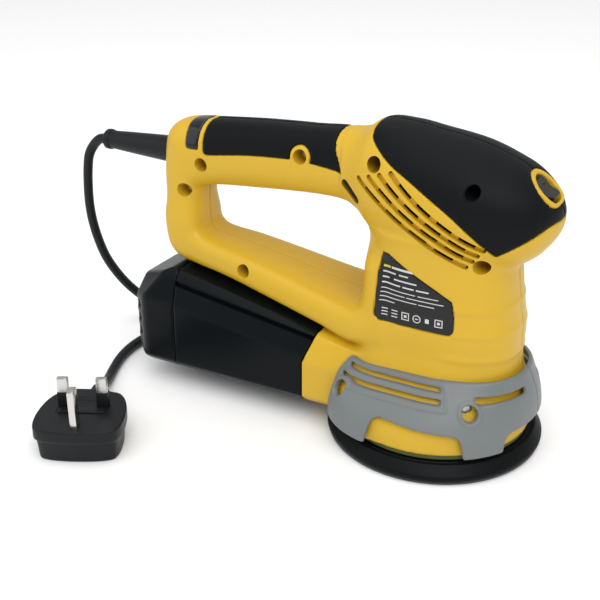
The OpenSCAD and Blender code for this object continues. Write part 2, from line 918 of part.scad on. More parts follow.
// Route of the free cord from the sleeve down to the coil, and from the coil to the plug
lead_route = [[-215, 0, 144], [-226, 0, 144], [-232, 0, 143], [-238, 1, 138.5], [-243, 1, 131],
    [-246, 2, 121], [-248, 3, 109], [-250, 5, 95], [-251, 8, 81], [-251, 12, 67],
    [-250, 17, 53], [-247, 23, 40], [-243, 30, 28], [-237, 38, 17], [-230, 47, 9],
    [-222, 57, 5], [-213, 68, 3.2], [-205.5, 80, 3.2], [-199, 92, 3.2]];
tail_route = [[-187.1, -77.1, 9], [-189.6, -71.9, 9], [-192.2, -66.4, 8], [-195.5, -59.5, 6],
    [-200, -50.5, 4], [-205, -40, 3.2], [-211, -24, 3.2], [-214, -7, 3.2], [-213, 10, 3.2],
    [-207, 25, 3.2], [-196, 37, 3.2], [-181, 43, 3.2], [-164, 45, 3.2]];
coil_x = -148;
coil_y = 92;
coil_in_r = 24.6;
coil_out_r = 49.8;
coil_h = 17.4;
cord_sides = 10;

// Catmull-Rom point between route points
function spline(p, i, t) =
    let (n = len(p) - 1, a = p[max(i - 1, 0)], b = p[i], c = p[min(i + 1, n)], d = p[min(i + 2, n)])
    0.5 * (2 * b + (c - a) * t + (2 * a - 5 * b + 4 * c - d) * t * t
        + (3 * b - 3 * c + d - a) * t * t * t);

function smooth_route(p, steps) = concat([for (i = [0:len(p) - 2])
    for (k = [0:steps - 1]) spline(p, i, k / steps)], [p[len(p) - 1]]);

function unit(v) = v / norm(v);
function direction(p, i) = unit(p[min(i + 1, len(p) - 1)] - p[max(i - 1, 0)]);
function carry(v, t) = unit(v - (v * t) * t);
function side_vectors(p, i = 0, v = [0, 1, 0.1]) = i == len(p) ? []
    : let (s = carry(v, direction(p, i))) concat([s], side_vectors(p, i + 1, s));

module tube(route, r, steps = 1) {
    p = smooth_route(route, steps);
    s = side_vectors(p);
    n = cord_sides;
    rings = [for (i = [0:len(p) - 1])
        let (t = direction(p, i), u = s[i], w = cross(t, u))
        for (k = [0:n - 1]) p[i] + r * (cos(360 * k / n) * u + sin(360 * k / n) * w)];
    sides = [for (i = [0:len(p) - 2]) for (k = [0:n - 1])
        [i * n + k, (i + 1) * n + k, (i + 1) * n + (k + 1) % n, i * n + (k + 1) % n]];
    start = [for (k = [0:n - 1]) k];
    end = [for (k = [n - 1:-1:0]) (len(p) - 1) * n + k];
    polyhedron(points = rings, faces = concat(sides, [start], [end]), convexity = 6);
}

module cord_lead() {
    color("#17181a") tube(lead_route, cord_d / 2, 1);
}

module cord_tail() {
    color("#17181a") tube(tail_route, cord_d / 2, 1);
}

module cord_coil() {
    color("#17181a") translate([coil_x, coil_y, 0]) rotate_extrude($fn = 72)
        polygon([[coil_in_r, 0.4], [coil_in_r + 2, 0], [coil_out_r - 2, 0], [coil_out_r, 0.4],
            [coil_out_r, 8], [coil_out_r - 7, coil_h], [coil_in_r + 5, coil_h], [coil_in_r, 12]]);
}

module cord_tie() {
    color("#2c2d30") translate([coil_x, coil_y, 0]) rotate([0, 0, 60]) difference() {
        translate([coil_in_r - 2, -4, 0]) cube([coil_out_r - coil_in_r + 3.4, 8, coil_h + 1.4]);
        translate([coil_in_r - 0.6, -5, -1]) cube([coil_out_r - coil_in_r + 0.6, 10, coil_h + 1]);
    }
}

plug_x = -173;
plug_y = -106;
plug_angle = 26;
plug_face = 21;
module on_plug() {
    translate([plug_x, plug_y, 0]) rotate([0, 0, plug_angle]) children();
}

// Outline of the plug: the earth side is wide, the cord side narrows
plug_outline = [[-25.4, -4], [-22, 10], [-11, 17], [11, 17], [22, 10], [25.4, -4],
    [25.4, -22], [21, -29], [-21, -29], [-25.4, -22]];

module plug_layer(z, inset) {
    translate([0, 0, z]) linear_extrude(0.1) offset(delta = -inset) polygon(plug_outline);
}

module plug_body() {
    color("#17181a") on_plug() difference() {
        hull() {
            plug_layer(0, 4);
            plug_layer(4, 1);
            plug_layer(15, 0);
            plug_layer(plug_face - 0.1, 1.4);
        }
        for (side = [-1, 1])
            translate([side * 31, -7, -1]) cylinder(r = 8, h = plug_face + 2, $fn = 40);
        translate([-14, -8.8, plug_face - 1.2]) cube([28, 5.6, 3]);
        translate([0, -22.2, plug_face - 6]) cube([4, 8, 14], center = true);
        for (side = [-1, 1])
            translate([side * 11.1, 0, plug_face - 6]) cube([6.4, 4, 14], center = true);
        translate([0, 25, 9]) rotate([90, 0, 0]) cylinder(r = cord_d / 2, h = 20, $fn = 32);
    }
}

module plug_strain_relief() {
    color("#17181a") on_plug() translate([0, 17, 9]) rotate([-90, 0, 0]) difference() {
        union() {
            cylinder(r1 = 6.2, r2 = 4.6, h = 20.5, $fn = 36);
            for (i = [0:3])
                translate([0, 0, 2 + 4.8 * i]) cylinder(r = 6.6 - 0.35 * i, h = 2.4, $fn = 36);
        }
        translate([0, 0, -1]) cylinder(r = cord_d / 2, h = 30, $fn = 32);
    }
}

module plug_earth_pin() {
    color("silver") on_plug() translate([0, -22.2, plug_face - 13 + 0.5]) {
        translate([-2, -4, 0]) cube([4, 8, 34.2]);
        translate([-1.5, -3.4, 34.2]) cube([3, 6.8, 1]);
    }
}

module plug_line_pins() {
    color("silver") on_plug()
        for (side = [-1, 1])
            translate([side * 11.1, 0, plug_face - 13 + 0.5]) {
                translate([-3.2, -2, 0]) cube([6.4, 4, 29.2]);
                translate([-2.6, -1.5, 29.2]) cube([5.2, 3, 1]);
            }
}

module plug_fuse_cover() {
    color("#222326") on_plug() translate([-13.8, -8.6, plug_face - 1.2]) cube([27.6, 5.2, 1.5]);
}

housing_right();
housing_left();
head_grip_right();
head_grip_left();
handle_grip_right();
handle_grip_left();
collar_right();
collar_left();
collar_screws();
housing_screws();
rating_label();
indicator_lens();
indicator_led();
switch_rocker();
switch_body();
speed_dial();
dial_shaft();
control_board();
suppression_capacitor();
upper_bearing_bracket();
upper_bearing();
lower_bearing();
bearing_bridge();
motor_stator();
stator_windings();
brush_holders();
carbon_brushes();
armature_shaft();
armature_core();
commutator();
cooling_fan();
dust_fan();
eccentric_hub();
counterweight();
pad_bearing();
retaining_ring();
pad_spindle();
pad_plate();
backing_pad();
pad_hook_face();
pad_screw();
pad_brake_ring();
dust_box_body();
dust_box_cap();
dust_filter();
cord_sleeve();
cable_clamp();
cord_lead();
cord_coil();
cord_tail();
cord_tie();
plug_body();
plug_strain_relief();
plug_earth_pin();
plug_line_pins();
plug_fuse_cover();
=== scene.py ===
import json
import math

import bmesh
import bpy
import numpy as np
from mathutils import Matrix, Vector


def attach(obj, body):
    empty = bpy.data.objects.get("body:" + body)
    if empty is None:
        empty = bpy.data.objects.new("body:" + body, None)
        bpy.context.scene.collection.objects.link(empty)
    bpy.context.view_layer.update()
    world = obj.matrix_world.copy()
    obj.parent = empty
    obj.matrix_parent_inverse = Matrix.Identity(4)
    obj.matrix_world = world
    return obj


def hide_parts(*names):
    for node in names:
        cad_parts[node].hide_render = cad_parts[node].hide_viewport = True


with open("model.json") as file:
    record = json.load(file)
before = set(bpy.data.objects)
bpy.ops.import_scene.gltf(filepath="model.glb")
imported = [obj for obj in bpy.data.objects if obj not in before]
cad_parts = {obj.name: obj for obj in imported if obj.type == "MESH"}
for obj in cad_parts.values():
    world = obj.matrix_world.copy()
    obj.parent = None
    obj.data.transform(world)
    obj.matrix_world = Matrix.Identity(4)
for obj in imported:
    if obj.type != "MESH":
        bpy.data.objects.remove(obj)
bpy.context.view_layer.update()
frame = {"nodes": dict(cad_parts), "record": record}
scene = bpy.context.scene


def mm(*v):
    return tuple(c * 0.001 for c in v)


# ---------------------------------------------------------------- camera
AZ, EL = math.radians(28), math.radians(25)
right = Vector((math.cos(AZ), math.sin(AZ), 0))
back = Vector((math.sin(AZ) * math.cos(EL), -math.cos(AZ) * math.cos(EL), math.sin(EL)))
up = back.cross(right)
lens = bpy.data.cameras.new("camera")
lens.lens = 60
lens.sensor_width = 36
lens.clip_start = 0.01
camera = bpy.data.objects.new("camera", lens)
CAMERA_AT = (168.2, -484.3, 317.6)
camera.matrix_world = Matrix(
    [[right[i], up[i], back[i], mm(*CAMERA_AT)[i]] for i in range(3)] + [[0, 0, 0, 1]]
)
scene.collection.objects.link(camera)
scene.camera = camera


# ---------------------------------------------------------------- materials
def material(name, base, rough, vary=0.12, grain=900, bump=0.12, metal=0.0, coat=0.0, patch=22,
             sheen=0.0, stretch=(1, 1, 1), spec=0.5):
    """Procedural surface: broad patches shift colour and gloss, fine grain gives the bump."""
    m = bpy.data.materials.new(name)
    m.use_nodes = True
    nt = m.node_tree
    b = nt.nodes["Principled BSDF"]
    b.inputs["Metallic"].default_value = metal
    b.inputs["Coat Weight"].default_value = coat
    b.inputs["Coat Roughness"].default_value = 0.12
    b.inputs["IOR"].default_value = 1.5
    b.inputs["Specular IOR Level"].default_value = spec
    b.inputs["Sheen Weight"].default_value = sheen
    co = nt.nodes.new("ShaderNodeTexCoord")
    mp = nt.nodes.new("ShaderNodeMapping")
    mp.inputs["Scale"].default_value = stretch
    nt.links.new(co.outputs["Object"], mp.inputs["Vector"])
    broad = nt.nodes.new("ShaderNodeTexNoise")
    broad.inputs["Scale"].default_value = patch
    broad.inputs["Detail"].default_value = 4
    fine = nt.nodes.new("ShaderNodeTexNoise")
    fine.inputs["Scale"].default_value = grain
    fine.inputs["Detail"].default_value = 3
    for n in (broad, fine):
        nt.links.new(mp.outputs["Vector"], n.inputs["Vector"])
    mix = nt.nodes.new("ShaderNodeMixRGB")
    mix.inputs[1].default_value = (*[c * (1 - vary) for c in base], 1)
    mix.inputs[2].default_value = (*[min(1, c * (1 + vary)) for c in base], 1)
    nt.links.new(broad.outputs["Fac"], mix.inputs["Fac"])
    nt.links.new(mix.outputs["Color"], b.inputs["Base Color"])
    ro = nt.nodes.new("ShaderNodeMapRange")
    ro.inputs["To Min"].default_value = max(0.03, rough - 0.07)
    ro.inputs["To Max"].default_value = min(1, rough + 0.07)
    nt.links.new(broad.outputs["Fac"], ro.inputs["Value"])
    nt.links.new(ro.outputs["Result"], b.inputs["Roughness"])
    bp = nt.nodes.new("ShaderNodeBump")
    bp.inputs["Strength"].default_value = bump
    bp.inputs["Distance"].default_value = 0.0004
    nt.links.new(fine.outputs["Fac"], bp.inputs["Height"])
    nt.links.new(bp.outputs["Normal"], b.inputs["Normal"])
    return m


MATS = {
    "yellow_shell": material("yellow_shell", (0.585, 0.362, 0.016), 0.4, 0.03, 1300, 0.1, spec=0.4),
    "grip": material("grip", (0.0035, 0.0046, 0.0052), 0.48, 0.15, 1500, 0.2, spec=0.1),
    "grey_collar": material("grey_collar", (0.15, 0.165, 0.168), 0.42, 0.05, 1300, 0.12, spec=0.4),
    "screw_steel": material("screw_steel", (0.5, 0.49, 0.47), 0.35, 0.12, 700, 0.15, metal=1),
    "label": material("label", (0.009, 0.0095, 0.011), 0.35, 0.12, 900, 0.04, spec=0.3),
    "label_white": material("label_white", (0.55, 0.55, 0.54), 0.4, 0.1, 900, 0.04),
    "label_yellow": material("label_yellow", (0.5, 0.47, 0.04), 0.4, 0.1, 900, 0.04),
    "lens": material("lens", (0.004, 0.005, 0.009), 0.12, 0.1, 300, 0.02, coat=0.3, spec=0.3),
    "led": material("led", (0.5, 0.02, 0.01), 0.15, 0.08, 300, 0.02, coat=0.5),
    "rocker": material("rocker", (0.008, 0.0085, 0.009), 0.32, 0.12, 1200, 0.08, spec=0.25),
    "inner_black": material("inner_black", (0.025, 0.025, 0.027), 0.5, 0.15, 1000, 0.2),
    "dial": material("dial", (0.009, 0.01, 0.011), 0.45, 0.15, 1200, 0.15, spec=0.3),
    "turned_steel": material("turned_steel", (0.6, 0.6, 0.59), 0.25, 0.08, 1400, 0.2, metal=1,
                             stretch=(1, 1, 8)),
    "board": material("board", (0.02, 0.11, 0.04), 0.4, 0.2, 500, 0.2),
    "capacitor": material("capacitor", (0.55, 0.38, 0.05), 0.4, 0.1, 500, 0.1),
    "bearing": material("bearing", (0.66, 0.66, 0.65), 0.2, 0.05, 800, 0.05, metal=1),
    "cast": material("cast", (0.55, 0.56, 0.55), 0.45, 0.1, 900, 0.5, metal=1),
    "laminations": material("laminations", (0.3, 0.31, 0.32), 0.4, 0.2, 400, 0.4, metal=1,
                            stretch=(0.2, 0.2, 6)),
    "copper": material("copper", (0.55, 0.22, 0.09), 0.3, 0.2, 500, 0.5, metal=1,
                       stretch=(1, 0.2, 4)),
    "brass": material("brass", (0.6, 0.42, 0.15), 0.3, 0.1, 700, 0.1, metal=1),
    "carbon": material("carbon", (0.03, 0.03, 0.03), 0.55, 0.3, 900, 0.3),
    "spring_steel": material("spring_steel", (0.12, 0.12, 0.12), 0.35, 0.1, 700, 0.1, metal=1),
    "pad_foam": material("pad_foam", (0.0028, 0.0034, 0.0038), 0.45, 0.2, 1100, 0.25, spec=0.1),
    "hook": material("hook", (0.03, 0.031, 0.034), 0.9, 0.3, 2200, 1.0, sheen=0.3),
    "brake_rubber": material("brake_rubber", (0.085, 0.1, 0.022), 0.6, 0.15, 900, 0.3),
    "box_black": material("box_black", (0.0026, 0.0042, 0.0052), 0.32, 0.12, 1300, 0.1, spec=0.1),
    "filter": material("filter", (0.62, 0.6, 0.5), 0.85, 0.08, 1500, 0.6),
    "cord_rubber": material("cord_rubber", (0.0075, 0.0085, 0.0105), 0.42, 0.15, 800, 0.08, spec=0.2),
    "tie": material("tie", (0.02, 0.02, 0.022), 0.4, 0.12, 900, 0.1),
    "plug_black": material("plug_black", (0.008, 0.009, 0.0105), 0.4, 0.15, 1200, 0.12, spec=0.2),
    "pin": material("pin", (0.62, 0.61, 0.58), 0.24, 0.08, 900, 0.08, metal=1),
}


# ---------------------------------------------------------------- mesh helpers
# Faces of a box whose corners run round its bottom, then round its top
BOX_FACES = [(0, 3, 2, 1), (4, 5, 6, 7), (0, 1, 5, 4), (1, 2, 6, 5), (2, 3, 7, 6), (3, 0, 4, 7)]


def add(name, verts, faces, slot, body, replaces=(), crease=40):
    """A mesh object from millimetre vertices, riding on a CAD body."""
    me = bpy.data.meshes.new(name)
    verts = np.asarray(verts, dtype=np.float64) * 0.001
    if isinstance(faces, np.ndarray):
        n = faces.shape[1]
        me.vertices.add(len(verts))
        me.vertices.foreach_set("co", verts.ravel().astype(np.float32))
        me.loops.add(faces.size)
        me.loops.foreach_set("vertex_index", faces.ravel().astype(np.int32))
        me.polygons.add(len(faces))
        me.polygons.foreach_set("loop_start", np.arange(0, faces.size, n, dtype=np.int32))
        me.polygons.foreach_set("loop_total", np.full(len(faces), n, dtype=np.int32))
        me.update(calc_edges=True)
    else:
        me.from_pydata([tuple(v) for v in verts], [], [tuple(f) for f in faces])
    me.validate()
    me.polygons.foreach_set("use_smooth", [True] * len(me.polygons))
    me.set_sharp_from_angle(angle=math.radians(crease))
    ob = bpy.data.objects.new(name, me)
    scene.collection.objects.link(ob)
    me.materials.append(MATS[slot])
    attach(ob, body)
    if replaces:
        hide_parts(*replaces)
    return ob


def block(name, boxes, slot, body, replaces=(), matrix=None, bevel=0.5):
    """Bevelled boxes, each (lowest corner, highest corner) in millimetres, as one piece."""
    bm = bmesh.new()
    for lo, hi in boxes:
        size = Vector(hi) - Vector(lo)
        mid = (Vector(hi) + Vector(lo)) / 2
        m = Matrix.Translation(mid) @ Matrix.Diagonal((*size, 1))
        made = bmesh.ops.create_cube(bm, size=1, matrix=m)
        edges = list({e for q in made["verts"] for e in q.link_edges})
        b = min(bevel, 0.45 * min(size))
        bmesh.ops.bevel(bm, geom=edges, offset=b, segments=2, affect="EDGES", profile=0.6)
    if matrix is not None:
        bm.transform(matrix)
    verts = [tuple(q.co) for q in bm.verts]
    bm.verts.index_update()
    faces = [tuple(q.index for q in fc.verts) for fc in bm.faces]
    bm.free()
    return add(name, verts, faces, slot, body, replaces, 30)


def gathered(solids):
    """Vertices and faces of several solids as one list of each."""
    vs, fs = [], []
    for v, f in solids:
        fs += [tuple(i + len(vs) for i in t) for t in f]
        vs += [tuple(q) for q in v]
    return vs, fs


def joined(name, parts, slot, flip=False):
    """Several solids as one piece on the body."""
    vs, fs = gathered(parts)
    vs = np.array(vs)
    if flip:
        vs = vs * (1, -1, 1)
        fs = [t[::-1] for t in fs]
    return add(name, vs, fs, slot, "body", (), 35)


def axes(lo, hi, h):
    """Grid coordinates along X, Y and Z, shaped so that they combine."""
    x, y, z = (np.arange(a, b + h, h, dtype=np.float32) for a, b in zip(lo, hi))
    return x[:, None, None], y[None, :, None], z[None, None, :]


def nets(f, lo, h):
    """Surface nets: the zero level of a field as vertices and quads."""
    shape = np.array(f.shape)
    quads, points = [], []
    for ax in range(3):
        u, v = (ax + 1) % 3, (ax + 2) % 3
        cut = [slice(None)] * 3
        cut[ax] = slice(0, -1)
        a = f[tuple(cut)]
        cut[ax] = slice(1, None)
        b = f[tuple(cut)]
        e = np.argwhere((a < 0) != (b < 0))
        ok = (e[:, u] > 0) & (e[:, v] > 0) & (e[:, u] < shape[u] - 1) & (e[:, v] < shape[v] - 1)
        e = e[ok]
        fa, fb = a[tuple(e.T)], b[tuple(e.T)]
        p = e.astype(np.float64)
        p[:, ax] += fa / (fa - fb)
        cells = []
        for du, dv in ((0, 0), (-1, 0), (-1, -1), (0, -1)):
            c = e.copy()
            c[:, u] += du
            c[:, v] += dv
            cells.append(np.ravel_multi_index(c.T, f.shape))
        cells = np.stack(cells, 1)
        flip = fa > 0
        cells[flip] = cells[flip][:, ::-1]
        quads.append(cells)
        points.append(np.repeat(p, 4, axis=0))
    cells = np.concatenate(quads)
    p = np.concatenate(points)
    inv = np.unique(cells.ravel(), return_inverse=True)[1]
    count = np.bincount(inv)
    verts = np.stack([np.bincount(inv, p[:, k]) / count for k in range(3)], 1)
    return verts * h + np.array(lo), inv.reshape(-1, 4)


def distance(f, h):
    """Turns an implicit value into a distance near its surface."""
    g = sum(d * d for d in np.gradient(f, h))
    return (f / np.sqrt(np.maximum(g, 1e-6))).astype(np.float32)


def smin(a, b, k):
    """Smaller of two fields, blended over k."""
    return np.minimum(a, b) - np.maximum(k - np.abs(a - b), 0) ** 2 / (4 * k)


def smax(a, b, k):
    return -smin(-a, -b, k)


def curve(rows, t):
    """Smooth columns of a table against its first column."""
    rows = np.array(rows, dtype=np.float64)
    k = rows[:, 0]
    v = rows[:, 1:]
    s = np.diff(v, axis=0) / np.diff(k)[:, None]
    m = np.vstack([s[:1], (s[1:] + s[:-1]) / 2, s[-1:]])
    flat = s[1:] * s[:-1] <= 0
    m[1:-1][flat] = 0
    t = np.clip(t, k[0], k[-1])
    i = np.clip(np.searchsorted(k, t) - 1, 0, len(k) - 2)
    w = (k[i + 1] - k[i])[..., None]
    q = ((t - k[i]) / (k[i + 1] - k[i]))[..., None]
    out = ((1 + 2 * q) * (1 - q) ** 2 * v[i] + q * (1 - q) ** 2 * w * m[i]
           + q * q * (3 - 2 * q) * v[i + 1] + q * q * (q - 1) * w * m[i + 1])
    return [out[..., c].astype(np.float32) for c in range(out.shape[-1])]


def rounded(points, steps=6, corner=()):
    """Closed Catmull-Rom line through outline points; the listed corners stay sharp."""
    p = np.array(points, dtype=np.float64)
    n = len(p)
    out = []
    for i in range(n):
        a, b, c, d = (p[(i + j) % n] for j in (-1, 0, 1, 2))
        if i in corner:
            a = b
        if (i + 1) % n in corner:
            d = c
        for s in range(steps):
            t = s / steps
            out.append(0.5 * (2 * b + (c - a) * t + (2 * a - 5 * b + 4 * c - d) * t * t
                              + (3 * b - 3 * c + d - a) * t ** 3))
    return np.array(out)


def line_distance(x, z, points, closed=False):
    """Distance to a polyline in the X-Z plane; signed, negative inside, if it is closed."""
    best = np.full(np.broadcast(x, z).shape, 1e9)
    inside = np.zeros(best.shape, dtype=bool)
    n = len(points)
    for i in range(n if closed else n - 1):
        a, b = points[i], points[(i + 1) % n]
        e = b - a
        wx, wz = x - a[0], z - a[1]
        t = np.clip((wx * e[0] + wz * e[1]) / max(e @ e, 1e-9), 0, 1)
        best = np.minimum(best, (wx - e[0] * t) ** 2 + (wz - e[1] * t) ** 2)
        c1, c2, c3 = z >= a[1], z < b[1], e[0] * wz > e[1] * wx
        inside ^= (c1 & c2 & c3) | (~c1 & ~c2 & ~c3)
    best = np.sqrt(best).astype(np.float32)
    return np.where(inside, -best, best) if closed else best


def lathe(profile, seg=96):
    """Closed profile of (radius, height) turned about Z."""
    verts, faces = [], []
    n = len(profile)
    for s in range(seg):
        a = 2 * math.pi * s / seg
        verts += [(r * math.cos(a), r * math.sin(a), z) for r, z in profile]
    for s in range(seg):
        t = (s + 1) % seg
        for i in range(n):
            j = (i + 1) % n
            faces.append((s * n + i, t * n + i, t * n + j, s * n + j))
    return np.array(verts), faces


def place(verts, matrix):
    """Vertices moved by a matrix."""
    m = np.array(matrix)
    return np.asarray(verts) @ m[:3, :3].T + m[:3, 3]


def prism(points, y0, y1):
    """Closed solid from an outline in X and Z, between two values of Y."""
    n = len(points)
    vs = [(q[0], y, q[1]) for y in (y0, y1) for q in points]
    fs = [tuple(range(n)), tuple(range(2 * n - 1, n - 1, -1))]
    fs += [(i, n + i, n + (i + 1) % n, (i + 1) % n) for i in range(n)]
    return vs, fs


def band_outline(line, r, steps=8):
    """Outline of a line thickened by r, with round ends."""
    line = np.array(line)
    t = np.gradient(line, axis=0)
    t /= np.linalg.norm(t, axis=1)[:, None]
    n = np.stack([-t[:, 1], t[:, 0]], 1)
    out = list(line + n * r)
    for end, direction in ((-1, 1), (0, -1)):
        for s in range(1, steps):
            a = math.pi * s / steps
            out.append(line[end] + direction * (n[end] * math.cos(a) + t[end] * math.sin(a)) * r)
        if end == -1:
            out += list((line - n * r)[::-1])
    return out


def circle(x, z, r, n=48):
    return [(x + r * math.cos(2 * math.pi * i / n), z + r * math.sin(2 * math.pi * i / n))
            for i in range(n)]


def subtract(ob, tool_mesh, solvers, crease, smooth):
    """Takes a closed mesh out of a piece, with the first solver that changes the piece."""
    tool = bpy.data.objects.new("tool", tool_mesh)
    scene.collection.objects.link(tool)
    cut = ob.modifiers.new("cut", "BOOLEAN")
    cut.object = tool
    for solver in solvers:
        cut.solver = solver
        bpy.context.view_layer.update()
        graph = bpy.context.evaluated_depsgraph_get()
        done = bpy.data.meshes.new_from_object(ob.evaluated_get(graph))
        if len(done.polygons) > 100 and len(done.polygons) != len(ob.data.polygons):
            break
    ob.modifiers.clear()
    ob.data = done
    if smooth:
        done.polygons.foreach_set("use_smooth", [True] * len(done.polygons))
    done.set_sharp_from_angle(angle=math.radians(crease))
    bpy.data.objects.remove(tool)


def carve(ob, solids, flip=False, crease=45):
    """Takes closed solids out of a piece."""
    vs, fs = gathered(solids)
    if flip:
        vs = [(q[0], -q[1], q[2]) for q in vs]
        fs = [t[::-1] for t in fs]
    me = bpy.data.meshes.new("tool")
    me.from_pydata([mm(*q) for q in vs], [], fs)
    bm = bmesh.new()
    bm.from_mesh(me)
    bmesh.ops.recalc_face_normals(bm, faces=bm.faces)
    bm.to_mesh(me)
    bm.free()
    subtract(ob, me, ("MANIFOLD", "EXACT"), crease, True)


# ---------------------------------------------------------------- lead
# Where the sleeve starts and where the lead leaves it, then the lead's points and the tail's
SLEEVE_ROOT = (-160, 0, 144)
LEAD = [(-226, 0, 144), (-232, 0, 143), (-238, 1, 138.5), (-243, 1, 131), (-246, 2, 121),
        (-248, 3, 109), (-250, 5, 95), (-251, 8, 81), (-251, 12, 67), (-250, 17, 53),
        (-247, 23, 40), (-243, 30, 28), (-237, 38, 17), (-230, 47, 9), (-222, 57, 5),
        (-213, 68, 3.2), (-205.5, 80, 3.2), (-199, 92, 3.2)]
TAIL = [(-187.1, -77.1, 9), (-189.6, -71.9, 9), (-192.2, -66.4, 8), (-195.5, -59.5, 6),
        (-200, -50.5, 4), (-205, -40, 3.2), (-211, -24, 3.2), (-214, -7, 3.2),
        (-213, 10, 3.2), (-207, 25, 3.2), (-196, 37, 3.2), (-181, 43, 3.2), (-164, 45, 3.2)]
COIL = (-148, 92)  # middle of the coil
CORD_D = 6.2
# Turns of the coil: turns made so far, radius, height
TURNS = [(0.0, 49.5, 3.2), (0.15, 43, 3.2), (0.5, 40.6, 3.2), (2.45, 28.2, 3.2), (2.62, 28, 6),
         (2.8, 29, 9.5), (4.85, 41.5, 9.5), (5.0, 41.0, 12.5), (5.18, 39, 15.8), (6.0, 36.5, 15.8),
         (6.35, 43, 15.8), (6.48, 47.5, 14), (6.62, 49.6, 9), (6.74, 49.7, 4), (6.78, 49.3, 3.2)]


def coil_points():
    """The coil's turns, from the lead's side to the tail's."""
    t = np.arange(0.03, 6.785, 0.03)
    r, z = (np.interp(t, [k[0] for k in TURNS], [k[c] for k in TURNS]) for c in (1, 2))
    for _ in range(2):
        r[1:-1] = (r[:-2] + 2 * r[1:-1] + r[2:]) / 4
        z[1:-1] = (z[:-2] + 2 * z[1:-1] + z[2:]) / 4
    a = np.pi - 2 * np.pi * t
    return np.stack([COIL[0] + r * np.cos(a), COIL[1] + r * np.sin(a), z], 1)


def spline3(p, steps):
    """Open Catmull-Rom line through points in space."""
    p = np.array(p, dtype=np.float64)
    out = []
    for i in range(len(p) - 1):
        a, b, c, d = p[max(i - 1, 0)], p[i], p[i + 1], p[min(i + 2, len(p) - 1)]
        for s in range(steps):
            t = s / steps
            out.append(0.5 * (2 * b + (c - a) * t + (2 * a - 5 * b + 4 * c - d) * t * t
                              + (3 * b - 3 * c + d - a) * t ** 3))
    return np.array(out + [p[-1]])


route = np.vstack([spline3(LEAD, 3), coil_points(), spline3(TAIL[::-1], 3)])
cu = bpy.data.curves.new("lead", "CURVE")
cu.dimensions = "3D"
cu.bevel_depth = CORD_D / 2 * 0.001
cu.bevel_resolution = 4
cu.use_fill_caps = True
sp = cu.splines.new("POLY")
sp.points.add(len(route) - 1)
for q, p in zip(sp.points, route):
    q.co = (*mm(*p), 1)
sp.use_smooth = True
cu.materials.append(MATS["cord_rubber"])
lead = bpy.data.objects.new("lead", cu)
scene.collection.objects.link(lead)
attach(lead, "body")
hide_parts("cord_lead", "cord_coil", "cord_tail")

# Sleeve: a smooth taper with a bead at its free end
SLEEVE_PROFILE = [(3.15, -2), (8.4, -2), (8.4, 1.2), (6.2, 1.2), (6.2, 12), (8.2, 13), (8.0, 18),
                  (7.2, 34), (6.3, 50), (5.6, 61), (5.55, 61.6), (6.2, 62.2), (6.35, 63.6),
                  (6.2, 65.2), (5.5, 66), (3.9, 66), (3.15, 64.5)]
v, f = lathe(SLEEVE_PROFILE, 64)
turn = Matrix.Translation(SLEEVE_ROOT) @ Matrix.Rotation(-math.pi / 2, 4, "Y")
add("lead_sleeve", place(v, turn), f, "cord_rubber", "body", ["cord_sleeve"], 35)

# Tie round the coil: a flat band that follows the turns under it
A_TIE = math.radians(60)
near_tie = coil_points() - np.array([*COIL, 0])
off_tie = np.arctan2(near_tie[:, 1], near_tie[:, 0]) - A_TIE
near_tie = near_tie[np.abs(off_tie) < math.radians(9)]
r_tie = np.hypot(near_tie[:, 0], near_tie[:, 1])
R0, R1, ZT = r_tie.min() - 3.3, r_tie.max() + 3.3, near_tie[:, 2].max() + 3.3
under = [(R0, 0.1), (R0, ZT - 1.3), (R0 + 1.3, ZT), (R1 - 2.4, ZT), (R1, ZT - 2.6), (R1, 0.1)]
over = [(R0 - 1.1, 0.1), (R0 - 1.1, ZT - 0.8), (R0 + 0.9, ZT + 1.2), (R1 - 1.9, ZT + 1.2),
        (R1 + 1.1, ZT - 2), (R1 + 1.1, 0.1)]
band = [(r, edge, z) for edge in (-4, 4) for r, z in under + over]
bf = []
for i in range(5):
    bf += [(i, i + 1, 13 + i, 12 + i), (6 + i, 18 + i, 19 + i, 7 + i),
           (i, 6 + i, 7 + i, i + 1), (12 + i, 13 + i, 19 + i, 18 + i)]
bf += [(0, 12, 18, 6), (5, 11, 23, 17)]
mt = Matrix.Translation((*COIL, 0)) @ Matrix.Rotation(A_TIE, 4, "Z")
tie = add("lead_tie", place(band, mt), bf, "tie", "body", ["cord_tie"], 50)

# ---------------------------------------------------------------- plug
PLUG = Matrix.Translation((-173, -106, 0)) @ Matrix.Rotation(math.radians(26), 4, "Z")
FACE = 21
plug_h = 0.55
plug_lo = (-29, -32, -1.5)
X, Y, Z = axes(plug_lo, (29, 20, 23), plug_h)
outline = rounded([(-25.4, -4), (-21, 11), (-12, 16.8), (12, 16.8), (21, 11), (25.4, -4),
                   (25, -21), (19, -28), (0, -30.2), (-19, -28), (-25, -21)], 5)
outline_d = line_distance(X[:, :, 0], Y[:, :, 0], outline, True)[:, :, None]
top = np.maximum(outline_d + 0.35, np.abs(Z - 17.2) - 3.8)
low = smax(outline_d + 1.6 + 0.09 * (15 - Z), np.abs(Z - 8) - 8, 1.2)
for side in (-1, 1):
    grip = 10.5 - np.sqrt((X - side * 33.5) ** 2 + (Z - 7.6) ** 2)
    low = smax(low, grip, 1.2)
plug_d = smin(smax(top, Z - FACE, 1.6), low, 1.6)
rear = smax(np.maximum(np.abs(X) - 11, np.abs(Y - 12) - 5), Z - FACE - 0.9, 0.8)
plug_d = smin(plug_d, np.maximum(rear, 17 - Z), 0.6)
frame_line = np.abs(np.maximum(np.abs(X) - 14, np.abs(Y + 6) - 3)) - 0.35
plug_d = np.maximum(plug_d, -np.maximum(frame_line, FACE - 0.8 - Z))
